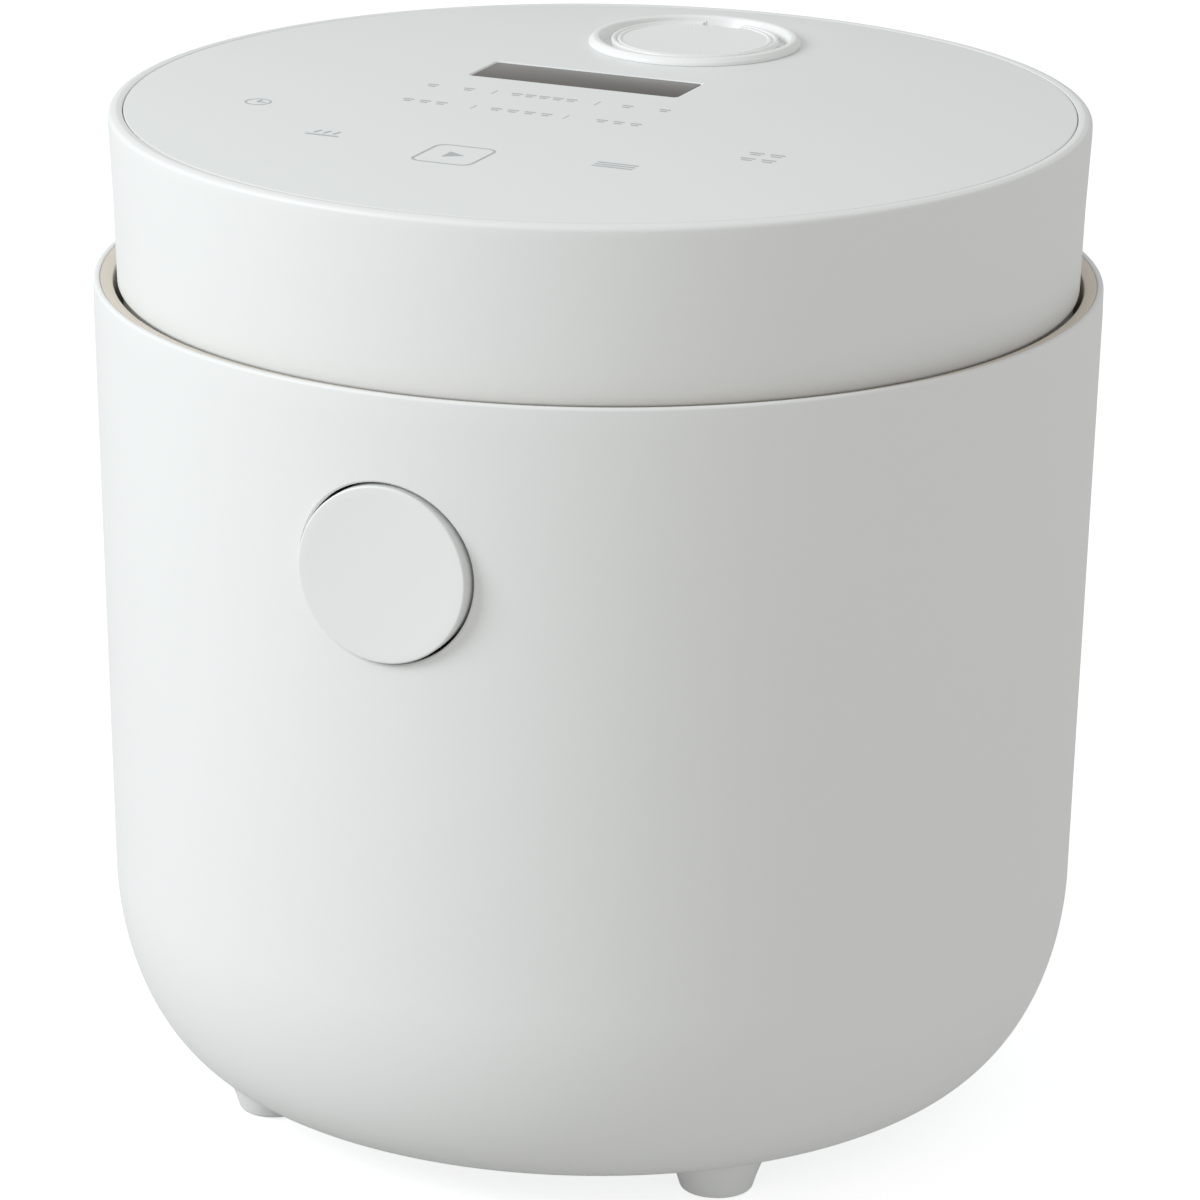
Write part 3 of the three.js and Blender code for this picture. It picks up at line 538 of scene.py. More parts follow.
def turned(name, outline, finish, centre=BODY, steps=None, axis="z"):
    """An outline of (radius, height) pairs turned about an upright axis, or about the line from
    front to back through (x, z) when axis is "y", with the heights then measured along Y."""
    steps = steps or shape().turn_steps
    outline = [(max(r, 0.0), z) for r, z in outline]
    if area(outline) < 0:
        outline.reverse()
    vertices, rings = [], []
    for r, h in outline:
        if r < 1e-6:
            rings.append([len(vertices)] * steps)
            vertices.append((centre[0], centre[1], h) if axis == "z" else (centre[0], h, centre[1]))
            continue
        rings.append(list(range(len(vertices), len(vertices) + steps)))
        for i in range(steps):
            a, b = r * math.cos(TAU * i / steps), r * math.sin(TAU * i / steps)
            x = centre[0] + a
            vertices.append((x, centre[1] + b, h) if axis == "z" else (x, h, centre[1] - b))
    faces = []
    for low, high in zip(rings, rings[1:] + rings[:1]):
        if len(set(low)) == 1 and len(set(high)) == 1:
            continue
        for i in range(steps):
            j = (i + 1) % steps
            corners = [low[i], low[j], high[j], high[i]]
            face = [v for k, v in enumerate(corners) if v != corners[k - 1]]
            faces.append(face)
    return mesh_object(name, vertices, faces, finish)


def extruded(name, outline, low, high, finish, across="z", top=None):
    """A flat outline given a thickness: across Z it lies in XY, across X in YZ, across Y in XZ.
    A second outline of as many points gives it sloping sides."""
    top = top or outline
    if area(outline) < 0:
        outline, top = outline[::-1], top[::-1]
    lay = {
        "z": lambda a, b, h: (a, b, h),
        "x": lambda a, b, h: (h, a, b),
        "y": lambda a, b, h: (a, h, b),
    }[across]
    count = len(outline)
    vertices = [lay(a, b, low) for a, b in outline] + [lay(a, b, high) for a, b in top]
    sides = [(i, (i + 1) % count, count + (i + 1) % count, count + i) for i in range(count)]
    faces = [tuple(range(count))[::-1], tuple(range(count, 2 * count)), *sides]
    if across == "y":
        faces = [f[::-1] for f in faces]
    return mesh_object(name, vertices, faces, finish)


def box_outline(half_w, half_h, radius=0.0, centre=(0.0, 0.0), steps=6):
    x, y = centre
    corners = [(-1, -1), (1, -1), (1, 1), (-1, 1)]
    return rounded([(x + half_w * a, y + half_h * b, radius) for a, b in corners], steps)


def bake(obj):
    """Turns an object's modifiers into plain mesh."""
    graph = bpy.context.evaluated_depsgraph_get()
    fresh = bpy.data.meshes.new_from_object(obj.evaluated_get(graph))
    obj.modifiers.clear()
    obj.data = fresh
    return obj


def combine(obj, others, operation="DIFFERENCE"):
    """Cuts the others out of an object, or joins them to it, and removes them."""
    for other in others:
        step = obj.modifiers.new(operation.title(), "BOOLEAN")
        step.operation, step.solver, step.object = operation, "EXACT", other
    material = obj.data.materials[0] if obj.data.materials else None
    bake(obj)
    for other in others:
        bpy.data.objects.remove(other)
    dress(obj, material)
    return obj


def soften(obj, width, segments=3, angle=34.0):
    """Rounds an object's sharp edges."""
    step = obj.modifiers.new("Edges", "BEVEL")
    step.width, step.segments, step.limit_method = width * MM, segments, "ANGLE"
    step.angle_limit, step.miter_outer = math.radians(angle), "MITER_ARC"
    step.use_clamp_overlap = True
    material = obj.data.materials[0]
    bake(obj)
    dress(obj, material)
    return obj


def place(obj, body, slot, *replaced):
    """Rides a finished piece on its body and hides the CAD nodes that it stands for."""
    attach(obj, body)
    if replaced:
        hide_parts(*replaced)
    return obj


# ------------------------------------------------------------------ geometry node trees
class Tree:
    """A geometry node tree with named inputs, a bundle of helpers and a fixed ending."""

    def __init__(self, name, **inputs):
        self.tree = bpy.data.node_groups.new(name, "GeometryNodeTree")
        face = self.tree.interface
        face.new_socket("Geometry", in_out="INPUT", socket_type="NodeSocketGeometry")
        for label, kind in inputs.items():
            label = label.replace("_", " ")
            face.new_socket(label, in_out="INPUT", socket_type="NodeSocket" + kind)
        face.new_socket("Geometry", in_out="OUTPUT", socket_type="NodeSocketGeometry")
        self.given = self.tree.nodes.new("NodeGroupInput").outputs

    def add(self, kind, sockets, output=0, **settings):
        node = self.tree.nodes.new(kind)
        for name, value in settings.items():
            setattr(node, name, value)
        for key, value in sockets.items():
            if isinstance(value, bpy.types.NodeSocket):
                self.tree.links.new(value, node.inputs[key])
            else:
                node.inputs[key].default_value = value
        return node.outputs[output]

    def end(self, geometry):
        real = self.add("GeometryNodeRealizeInstances", {0: geometry})
        painted = self.add(
            "GeometryNodeSetMaterial", {"Geometry": real, "Material": self.given["Finish"]}
        )
        out = self.tree.nodes.new("NodeGroupOutput")
        self.tree.links.new(painted, out.inputs[0])
        return self.tree


def ring_tree():
    """Copies of one piece, evenly spaced on a ring and each turned to face outwards."""
    if "Ring of copies" in bpy.data.node_groups:
        return bpy.data.node_groups["Ring of copies"]
    t = Tree(
        "Ring of copies", Piece="Object", Count="Int", Ring_radius="Float", First_angle="Float",
        Centre="Vector", Finish="Material",
    )
    index = t.add("GeometryNodeInputIndex", {})
    share = t.add("ShaderNodeMath", {0: index, 1: t.given["Count"]}, operation="DIVIDE")
    turn = t.add("ShaderNodeMath", {0: share, 1: TAU}, operation="MULTIPLY")
    angle = t.add("ShaderNodeMath", {0: turn, 1: t.given["First angle"]}, operation="ADD")
    along = [
        t.add("ShaderNodeMath", {0: t.add("ShaderNodeMath", {0: angle}, operation=trig),
                                 1: t.given["Ring radius"]}, operation="MULTIPLY")
        for trig in ("COSINE", "SINE")
    ]
    spot = t.add("ShaderNodeCombineXYZ", {0: along[0], 1: along[1]})
    there = t.add("ShaderNodeVectorMath", {0: spot, 1: t.given["Centre"]}, operation="ADD")
    points = t.add("GeometryNodePoints", {"Count": t.given["Count"], "Position": there})
    facing = t.add("ShaderNodeCombineXYZ", {2: angle})
    source = t.add("GeometryNodeObjectInfo", {"Object": t.given["Piece"]}, "Geometry")
    copies = t.add(
        "GeometryNodeInstanceOnPoints",
        {"Points": points, "Instance": source, "Rotation": facing},
    )
    return t.end(copies)


def row_tree():
    """Copies of one piece in a straight row."""
    if "Row of copies" in bpy.data.node_groups:
        return bpy.data.node_groups["Row of copies"]
    t = Tree(
        "Row of copies", Piece="Object", Count="Int", Start="Vector", Step="Vector",
        Finish="Material",
    )
    index = t.add("GeometryNodeInputIndex", {})
    far = t.add("ShaderNodeVectorMath", {0: t.given["Step"], "Scale": index}, operation="SCALE")
    there = t.add("ShaderNodeVectorMath", {0: far, 1: t.given["Start"]}, operation="ADD")
    points = t.add("GeometryNodePoints", {"Count": t.given["Count"], "Position": there})
    source = t.add("GeometryNodeObjectInfo", {"Object": t.given["Piece"]}, "Geometry")
    return t.end(t.add("GeometryNodeInstanceOnPoints", {"Points": points, "Instance": source}))


def coil_tree():
    """A coil spring of round wire, standing on its centre."""
    if "Coil" in bpy.data.node_groups:
        return bpy.data.node_groups["Coil"]
    t = Tree(
        "Coil", Turns="Float", Radius="Float", Height="Float", Wire="Float", Turn="Vector",
        Centre="Vector", Finish="Material",
    )
    path = t.add(
        "GeometryNodeCurveSpiral",
        {"Resolution": 28, "Rotations": t.given["Turns"], "Start Radius": t.given["Radius"],
         "End Radius": t.given["Radius"], "Height": t.given["Height"]},
    )
    section = t.add(
        "GeometryNodeCurvePrimitiveCircle", {"Resolution": 12, "Radius": t.given["Wire"]}
    )
    wire = t.add(
        "GeometryNodeCurveToMesh", {"Curve": path, "Profile Curve": section, "Fill Caps": True}
    )
    laid = t.add(
        "GeometryNodeTransform",
        {"Geometry": wire, "Translation": t.given["Centre"], "Rotation": t.given["Turn"]},
    )
    return t.end(laid)


def grown(name, tree, finish, sharp=38.0, **values):
    """Runs a tree on an empty mesh and keeps the result as a plain mesh object."""
    made = mesh_object(name, [], [], finish)
    step = made.modifiers.new("Grow", "NODES")
    step.node_group = tree
    for item in tree.interface.items_tree:
        key = item.name.replace(" ", "_")
        if item.in_out == "INPUT" and key in values:
            step[item.identifier] = values[key]
        elif item.in_out == "INPUT" and key == "Finish" and finish:
            step[item.identifier] = finish_of(finish)
    bake(made)
    if not made.data.vertices:
        raise RuntimeError(name + " came out of its node tree empty")
    dress(made, finish and finish_of(finish), sharp)
    return made


def ring_of(name, piece, finish, count, radius, first_deg, centre=BODY):
    """Copies of a piece round a ring; the piece itself is removed."""
    made = grown(
        name, ring_tree(), finish, Piece=piece, Count=count, Ring_radius=radius * MM,
        First_angle=math.radians(first_deg), Centre=(centre[0] * MM, centre[1] * MM, 0.0),
    )
    bpy.data.objects.remove(piece)
    return made


# ------------------------------------------------------------------ body
def wall_radius(z):
    return WALL_R + (RIM_R - WALL_R) * (z - WALL_Z) / (RIM_Z - WALL_Z)


def bottom_curve(first, last, steps, inset=0.0):
    """Points up the rounded bottom between two angles in degrees."""
    flat = FLAT_R - 0.8 * inset
    made = []
    for i in range(steps + 1):
        angle = math.radians(first + (last - first) * i / steps)
        made.append(
            (flat + (WALL_R - inset - flat) * math.sin(angle),
             WALL_Z - (WALL_Z - BASE_Z - inset) * math.cos(angle))
        )
    return made


def drum(name, offset):
    """The closed outside of the body, grown by an offset, as a cutting tool."""
    curve = [
        (r + offset, z - offset * max(0.0, 1 - (z - BASE_Z) / 30))
        for r, z in bottom_curve(0, 90, 24)
    ]
    return turned(name, [(0, BASE_Z - offset), *curve, (RIM_R + offset, RIM_Z), (0, RIM_Z)], None)


def hole_tool(name, radius, ease, z, depth):
    """A plug that cuts a round hole through the curved wall and eases its outer edge."""
    steps = 144
    stack = [(0.0, -4.0), (radius + ease, -4.0), (radius + ease, -0.03)]
    stack += [
        (radius + ease * (1 - math.sin(a)), ease * (1 - math.cos(a)))
        for a in (math.radians(k) for k in (35, 52, 70, 90))
    ]
    stack += [(radius, depth), (0.0, depth)]
    vertices, rings = [], []
    for rho, deep in stack:
        ring = []
        for i in range(steps if rho else 1):
            x = rho * math.cos(TAU * i / steps)
            height = z + rho * math.sin(TAU * i / steps)
            ring.append(len(vertices))
            wall_y = AXIS_Y - math.sqrt(wall_radius(height) ** 2 - x * x)
            vertices.append((x, wall_y + deep, height))
        rings.append(ring if rho else ring * steps)
    faces = []
    for outer, inner in zip(rings, rings[1:]):
        for i in range(steps):
            j = (i + 1) % steps
            corners = [outer[i], inner[i], inner[j], outer[j]]
            faces.append([v for k, v in enumerate(corners) if v != corners[k - 1]])
    return mesh_object(name, vertices, faces, None)


def build_shell():
    lip = shape().lip_round / MM
    inner = RIM_R - SKIN
    outline = rounded(
        [*bottom_curve(SEAM, 90, 30), (RIM_R - 0.01, RIM_Z - 6), (RIM_R, RIM_Z, lip),
         (RIM_R - RIM_LIP, RIM_Z, 0.4), (RIM_R - RIM_LIP, RIM_Z - 2.4), (inner, RIM_Z - 2.4),
         *bottom_curve(SEAM, 90, 16, SKIN)[::-1]],
        7,
    )
    shell = turned("outer_shell_skin", outline, "satin_white")
    hole = hole_tool("hole", BUTTON_R + 0.6, 0.4, BUTTON_Z, 9.0)
    cable = extruded("cable", box_outline(12, 17, 2, (0, 83)), AXIS_Y + 92, AXIS_Y + 112, None, "y")
    combine(shell, [hole, cable])
    place(shell, "body", "shell_white", "outer_shell")


def build_collar():
    low, high = edges_of("rim_collar")
    outer = high.x
    ledge = low.z + 4.9
    face = RIM_R - RIM_LIP - 0.05
    outline = rounded(
        [(outer, RIM_Z - 2.3), (face, RIM_Z - 2.3), (face, RIM_Z - 0.2, 0.15),
         (outer - 1.25, RIM_Z - 0.85, 0.4), (outer - 1.35, RIM_Z - 3, 2), (outer - 1.5, 176, 4),
         (outer - 1.7, 169.5), (outer - 2.2, ledge, 1.2), (86.6, ledge, 0.5), (86, ledge - 0.8),
         (86, low.z + 1.8, 0.5), (80.6, low.z + 1.8, 0.6), (80.6, low.z, 0.4), (88, low.z, 0.4),
         (88, ledge - 2, 0.4),
         (outer - 1.3, ledge - 2), (outer - 0.5, ledge - 1)],
        4,
    )
    collar = turned("rim_funnel", outline, "collar_cream")
    slot = extruded(
        "slot", box_outline(6.5, 5.5, 1.2, (0, AXIS_Y - 94.5)), ledge - 4, ledge + 2, None
    )
    combine(collar, [slot])
    place(collar, "body", "collar_cream", "rim_collar")


def build_base():
    inside = BASE_Z + SKIN
    edge = SEAM - 0.5
    outline = [(0, BASE_Z), *bottom_curve(0, edge, 6), *bottom_curve(0, edge, 4, SKIN)[::-1],
               (0, inside)]
    base = turned("underside_plate", outline, "satin_white")
    hole = FOOT_R + 0.3
    socket = turned(
        "socket", [(0, 0), (hole, 0), (hole, 9.1), (3.3, 9.1), (3.3, 13), (0, 13)], None, (0, 0), 64
    )
    sockets = ring_of("sockets", socket, None, 4, FOOT_RING, 45)
    well = turned(
        "well", [(0, 0), (3.7, 0), (3.7, 8), (1.8, 8), (1.8, 13), (0, 13)], None, (0, 0), 48
    )
    wells = ring_of("wells", well, None, 3, SCREW_RING, 90)
    vents = ring_of(
        "vents", extruded("vent", box_outline(10, 1.5, 1.49), 4, 13, None), None, 6, 38, 0,
    )
    combine(base, [sockets, wells, vents])
    place(base, "body", "shell_white", "base_plate")


def build_feet():
    pad_low, pad_high = edges_of("pad_front_right")
    pad = (pad_high.x - pad_low.x) / 2
    plug = turned(
        "plug",
        rounded([(0, 1.9), (pad + 0.3, 1.9, 0.2), (pad + 0.3, 0.4, 0.3), (pad + 1.9, 0.4, 1.7),
                 (FOOT_R - 1.5, 4.2, 3.0), (FOOT_R + 0.2, 8.4, 1.5), (FOOT_R + 0.8, 9.6), (3, 9.6),
                 (3, FOOT_HIGH.z), (0, FOOT_HIGH.z)], 6),
        None, (0, 0), 96,
    )
    feet = ring_of("tapered_feet", plug, "satin_white", 4, FOOT_RING, 45)
    place(feet, "body", "shell_white", *("foot_" + c for c in CORNERS))
    disc = turned(
        "disc", rounded([(0, 0), (pad, 0, 0.5), (pad, 1.6, 0.2), (0, 1.6)], 4), None, (0, 0), 64
    )
    pads = ring_of("foot_pads", disc, "foot_pad", 4, FOOT_RING, 45)
    place(pads, "body", "silicone_grey", *("pad_" + c for c in CORNERS))


def screw_blank(name, head, shank, length):
    """A pan-head screw at the origin, its head down, with a cross recess."""
    blank = turned(
        name,
        rounded([(0, 0), (head, 0, 1.1), (head, 1.5, 0.1), (shank, 1.5), (shank, length - 1.5),
                 (0, length)], 5),
        "zinc_steel", (0, 0), 40,
    )
    bars = [
        extruded("bar", box_outline(a, b, 0.2), -1, 1.0, None)
        for a, b in ((head * 0.55, 0.38), (0.38, head * 0.55))
    ]
    return combine(blank, bars)


def build_base_screws():
    low, high = edges_of("base_screw_1")
    blank = screw_blank("blank", 3.1, 1.45, high.z - low.z)
    blank.data.transform(Matrix.Translation((0, 0, low.z * MM)))
    screws = ring_of("base_screws", blank, "zinc_steel", 3, SCREW_RING, 90)
    place(screws, "body", "steel", "base_screw_1", "base_screw_2", "base_screw_3")


# ------------------------------------------------------------------ release button and latch
def build_button():
    low, high = BUTTON_LOW, BUTTON_HIGH
    dish = shape().dish / MM
    front = low.y
    radius = BUTTON_R
    face = [(0, front + dish)]
    face += [(r, front + dish * (1 - (r / radius) ** 2)) for r in (3, 6, 9, 12, 14.5, 16.4)]
    outline = rounded(
        [*face, (radius, front, 0.45), (radius, BUTTON_FOOT_Y, 0.3),
         (radius - 2, BUTTON_FOOT_Y, 0.3), (radius - 2, BUTTON_FOOT_Y - 3.4, 0.6),
         (2.5, BUTTON_FOOT_Y - 3.4, 0.6), (2.5, high.y, 0.4), (0, high.y)],
        6,
    )
    button = turned("round_button", outline, "button_white", (0, BUTTON_Z), 192, "y")
    place(button, "button", "shell_white", "release_button")


def build_latch():
    hook = frame["nodes"]["latch_hook"]
    copy = bpy.data.objects.new("snap_hook", hook.data.copy())
    bpy.context.scene.collection.objects.link(copy)
    weld = copy.modifiers.new("Weld", "WELD")
    weld.merge_threshold = 0.01 * MM
    bake(copy)
    dress(copy, finish_of("charcoal"))
    soften(copy, 0.3)
    place(copy, "latch", "dark_plastic", "latch_hook")


# ------------------------------------------------------------------ lid
def build_lid_shell():
    low, high = LID_LOW, LID_HIGH
    r, round_top = high.x, shape().lid_round / MM
    lip = PANEL_HIGH.x + 0.2
    shelf = PANEL_LOW.z - 0.3
    rim = LID_FOOT_R
    outline = rounded(
        [(rim - 1.2, low.z, 0.6), (rim - 1.2, RIM_Z - 2.4, 1.5), (rim, RIM_Z - 0.9, 1.0),
         (rim + 0.65, 200), (r - 0.02, high.z - 3.2), (r, high.z - 0.5, round_top),
         (r - 1.7, high.z, 1.2), (lip, high.z - 0.1, 0.25), (lip, shelf, 0.1),
         (lip - 4, shelf, 0.3), (lip - 4, shelf - 2, 0.3), (r - 2.3, shelf - 3.2),
         (rim - 1.4, 200), (rim - 2.3, RIM_Z + 0.5), (rim - 3.2, RIM_Z - 3),
         (rim - 3.2, low.z, 0.3)],
        7,
    )
    lid = turned("lid_drum", outline, "satin_white")
    y, z = HINGE
    tools = [
        extruded("door", box_outline(5.75, 6, 1.5, (18.25 * side, z)), y - 25, y - 6, None, "y")
        for side in (-1, 1)
    ]
    combine(lid, tools)
    boss = extruded("boss", box_outline(7.5, 5, 1, (0, z)), y - 19.8, y - 13.4, None, "y")
    combine(lid, [boss], "UNION")
    place(lid, "lid", "shell_white", "lid_shell")


def window_outline(margin, radius):
    x, y = (WINDOW_LOW.x + WINDOW_HIGH.x) / 2, (WINDOW_LOW.y + WINDOW_HIGH.y) / 2
    half_w, half_d = (WINDOW_HIGH.x - WINDOW_LOW.x) / 2, (WINDOW_HIGH.y - WINDOW_LOW.y) / 2
    return box_outline(half_w + margin, half_d + margin, radius, (x, y), 5)


def build_panel():
    low, high = PANEL_LOW, PANEL_HIGH
    outline = rounded([(0, low.z), (high.x, low.z), (high.x, high.z, 0.22), (0, high.z)], 5)
    panel = turned("control_panel", outline, "panel_white")
    window = extruded("window", window_outline(0.12, 0.7), low.z - 1, high.z - 0.35, None)
    bevel = extruded("bevel", window_outline(0.12, 0.7), high.z - 0.35, high.z + 0.05, None,
                     top=window_outline(0.55, 1.1))
    port_low, port_high = edges_of("steam_port")
    hole = (port_high.x - port_low.x) / 2 + 0.4
    plug = [(0, low.z - 1), (hole, low.z - 1), (hole, high.z + 1), (0, high.z + 1)]
    steam = turned("steam", plug, None, CAP, 128)
    combine(panel, [window, bevel, steam])
    place(panel, "lid", "panel_white", "touch_panel")
    glass = extruded(
        "smoked_glass", window_outline(0, 0.6), WINDOW_LOW.z, WINDOW_HIGH.z, "smoked_window"
    )
    soften(glass, 0.12, 2)
    place(glass, "lid", "smoked_window", "display_window")


def sign(outline):
    """One printed shape standing a hair above the panel."""
    return extruded("sign", outline, INK_Z, INK_Z + shape().ink / MM, "sign_ink")


def frame_sign(x, y, half_w, half_d, radius, line):
    """A rounded rectangle drawn as a line."""
    outer = sign(box_outline(half_w, half_d, radius, (x, y)))
    inner = extruded(
        "inner", box_outline(half_w - line, half_d - line, radius - line * 0.7, (x, y)),
        LID_TOP - 1, LID_TOP + 1, None,
    )
    return combine(outer, [inner])


def ring_sign(x, y, radius, line):
    """A circle drawn as a line."""
    top = INK_Z + shape().ink / MM
    tube = [(radius, INK_Z), (radius, top), (radius - line, top), (radius - line, INK_Z)]
    return turned("ring", tube, "sign_ink", (x, y), 48)


def bar_sign(x, y, half_w, half_d, turn=0.0):
    """A bar with rounded ends, turned about its middle."""
    c, s = math.cos(turn), math.sin(turn)
    radius = min(half_w, half_d) * 0.9
    outline = box_outline(half_w, half_d, radius, steps=3)
    return sign([(x + a * c - b * s, y + a * s + b * c) for a, b in outline])


def pip_row(name, x, y, count, pitch=3.6, half=1.3):
    """A short row of small double bars, in place of a printed word."""
    upper = bar_sign(0, y + 0.75, half, 0.36)
    pip = combine(upper, [bar_sign(0.2, y - 0.75, half * 0.7, 0.36)], "UNION")
    made = grown(
        name, row_tree(), "sign_ink", Piece=pip, Count=count,
        Start=((x - pitch * (count - 1) / 2) * MM, 0.0, 0.0), Step=(pitch * MM, 0.0, 0.0),
    )
    bpy.data.objects.remove(pip)
    return made


def build_signs():
    """Key signs and menu rows on the panel, drawn as plain pictograms and bars."""
    y0 = AXIS_Y
    parts = []
    # Start key: a rounded square with a pointer in it.
    sx, sy = -9.3, y0 - 54.0
    parts.append(frame_sign(sx, sy, 6.9, 7.9, 2.6, 0.5))
    parts.append(sign([(sx - 1.7, sy - 2.3), (sx + 2.4, sy), (sx - 1.7, sy + 2.3)]))
    # Menu key: three bars.
    parts += [bar_sign(24.3, y0 - 48.1 + d, 4.6, 0.34) for d in (-1.6, 0.0, 1.6)]
    # Keep-warm key: three rising strokes over a dish.
    kx, ky = -41.4, y0 - 48.5
    parts += [bar_sign(kx + d, ky + 1.1, 1.3, 0.32, math.radians(76)) for d in (-2.2, 0.0, 2.2)]
    parts.append(bar_sign(kx, ky - 1.6, 3.9, 0.42))
    # Timer key: a clock face with two hands.
    tx, ty = -66.9, y0 - 28.7
    parts.append(ring_sign(tx, ty, 2.9, 0.42))
    parts.append(bar_sign(tx, ty + 0.9, 0.24, 1.1))
    parts.append(bar_sign(tx + 0.8, ty, 1.0, 0.24))
    # Cancel key: two short rows.
    parts += [pip_row(f"cancel_{d}", 48.6, y0 - 28.4 + d, 2, 4.6, 1.7) for d in (-2.5, 2.5)]
    # Menu rows under the window, with fine dividers between their groups.
    upper, lower = y0 + 1.8, y0 - 12.8
    for i, (x, count) in enumerate(((-40.3, 1), (-31.8, 1), (-14.1, 5), (5.3, 1), (13.9, 1))):
        parts.append(pip_row(f"upper_{i}", x, upper, count, 3.2))
    for i, (x, count) in enumerate(((-35.4, 3), (-12.9, 4), (9.6, 3))):
        parts.append(pip_row(f"lower_{i}", x, lower, count, 3.9))
    parts += [bar_sign(x, y, 0.1, 1.7) for x, y in
              ((-25.6, upper), (-1.5, upper), (-23.8, lower), (-2.3, lower))]
    group = bpy.data.objects.new("panel_signs", merged([p.data for p in parts]))
    bpy.context.scene.collection.objects.link(group)
    for part in parts:
        bpy.data.objects.remove(part)
    dress(group, finish_of("sign_ink"))
    place(group, "lid", "panel_white")


def merged(meshes):
    """One mesh from several."""
    work = bmesh.new()
    for mesh in meshes:
        work.from_mesh(mesh)
    made = bpy.data.meshes.new("merged")
    work.to_mesh(made)
    work.free()
    return made


def build_steam_cap():
    seal_low, seal_high = edges_of("steam_cap_seal")
    outer = (seal_high.x - seal_low.x) / 2
    plug, seat, top = outer - 1.0, LID_TOP + 0.3, CAP_HIGH.z
    floor = seat - 1.1
    # Ring and disc take the paler cap white, which carries a painted highlight.
    ring = turned(
        "cap_ring",
        rounded([(plug - 1.6, CAP_LOW.z, 0.4), (plug, CAP_LOW.z, 0.4), (plug, seat - 2.2, 0.3),
                 (plug + 2.4, seat - 2.2, 0.3), (plug + 2.4, seat - 0.27),
                 (CAP_R, seat - 0.27, 0.1), (CAP_R - 0.1, seat + 0.45, 0.5),
                 (CAP_R - 1.0, top, 0.9), (CAP_R - 2.4, top, 0.8), (CAP_R - 3.2, floor, 0.3),
                 (plug - 1.6, floor)], 8),
        "cap_white", CAP, 192,
    )
    place(ring, "steam_cap", "shell_white", "steam_cap_ring")
    rim = plug - 0.1
    disk = turned(
        "cap_disc",
        rounded([(0, seat - 2), (plug - 1.9, seat - 2, 0.2), (plug - 1.9, floor + 0.3),
                 (rim, floor + 0.3, 0.2), (rim, seat + 0.95, 0.4), (rim - 0.9, seat + 0.95, 0.35),
                 (rim - 1.05, seat + 0.4, 0.1), (rim - 1.35, seat + 0.4, 0.1),
                 (rim - 1.5, seat + 0.85, 0.25), (rim - 2.1, seat + 0.85, 0.3),
                 (rim - 2.4, seat + 0.6, 0.2), (0, seat + 0.6)], 7),
        "cap_white", CAP, 192,
    )
    x, y = CAP
    opening = box_outline(4.5, 2.7, 0.8, (x, y + 17.2))
    notch = extruded("notch", opening, seat - 3, top + 2, None)
    combine(disk, [notch])
    place(disk, "steam_cap", "panel_white", "steam_cap_disc")
    mid = (seal_low.z + seal_high.z) / 2
    seal = turned(
        "cap_seal",
        rounded([(plug + 0.25, seal_low.z, 0.2), (outer - 0.4, seal_low.z, 0.3), (outer, mid, 0.5),
                 (outer - 0.4, seal_high.z, 0.3), (plug + 0.25, seal_high.z, 0.2)], 4),
        "grey_silicone", CAP, 128,
    )
    place(seal, "steam_cap", "silicone_grey", "steam_cap_seal")


def build_steam_port():
    low, high = edges_of("steam_port")
    cup = (high.x - low.x) / 2
    floor = high.z - 8.7
    port = turned(
        "steam_duct",
        rounded([(6, low.z, 0.3), (8, low.z, 0.3), (8, floor, 0.8), (cup, floor, 1.2),
                 (cup, high.z, 0.3), (cup - 1.4, high.z, 0.3), (cup - 1.4, floor + 2, 1),
                 (6, floor + 2, 0.6)], 5),
        "liner_white", CAP, 128,
    )
    place(port, "lid", "collar_cream", "steam_port")


def build_liner():
    low = LINER_LOW
    radius = LINER_HIGH.x
    top = low.z + 1.8
    liner = turned(
        "lid_floor",
        rounded([(0, low.z), (86.6, low.z), (87, low.z + 0.6, 0.3), (90.0, low.z + 0.6, 0.3),
                 (90.4, low.z, 0.3), (radius, low.z, 0.5), (radius, top, 0.4), (0, top)], 4),
        "liner_white",
    )
    over, under = top + 2, low.z - 2
    cut = [
        turned("duct", [(0, over), (8.4, over), (8.4, under), (0, under)], None, CAP, 96),
        turned("neck", [(0, over), (3.5, over), (3.5, under), (0, under)], None, BODY, 64),
        extruded("slot", box_outline(7, 4.3, 1.2, (0, AXIS_Y - 93.2)), under, over, None),
    ]
    combine(liner, cut)
    board_low, board_high = edges_of("control_board")
    head = board_low.z - 0.3
    column = rounded([(0, top - 1), (3.4, top - 1), (3, top + 2), (3, head, 0.3), (0, head)], 3)
    posts = [
        turned("post", column, None, (x, y), 32)
        for x in (board_low.x + 6, board_high.x - 6)
        for y in (board_low.y + 6, board_high.y - 6)
    ]
    combine(liner, posts, "UNION")
    place(liner, "lid", "collar_cream", "lid_liner")


def build_inner_plate():
    z = PLATE_LOW.z
    edge = PLATE_HIGH.x
    sheet = turned(
        "wipe_plate",
        rounded([(3.5, z, 0.3), (30, z, 1), (31, z + 0.45, 1), (35, z + 0.45, 1), (36, z, 1),
                 (58, z, 2), (62, z + 1.5, 2), (edge, z + 1.5, 0.3), (edge, z + 2.9, 0.3),
                 (61, z + 2.9, 2), (57, z + 1.4, 2), (3.5, z + 1.4, 0.3)], 5),
        "spun_aluminium",
    )
    hole = turned("duct", [(0, z + 6), (6, z + 6), (6, z - 3), (0, z - 3)], None, CAP, 96)
    combine(sheet, [hole])
    place(sheet, "lid", "aluminium", "inner_lid")


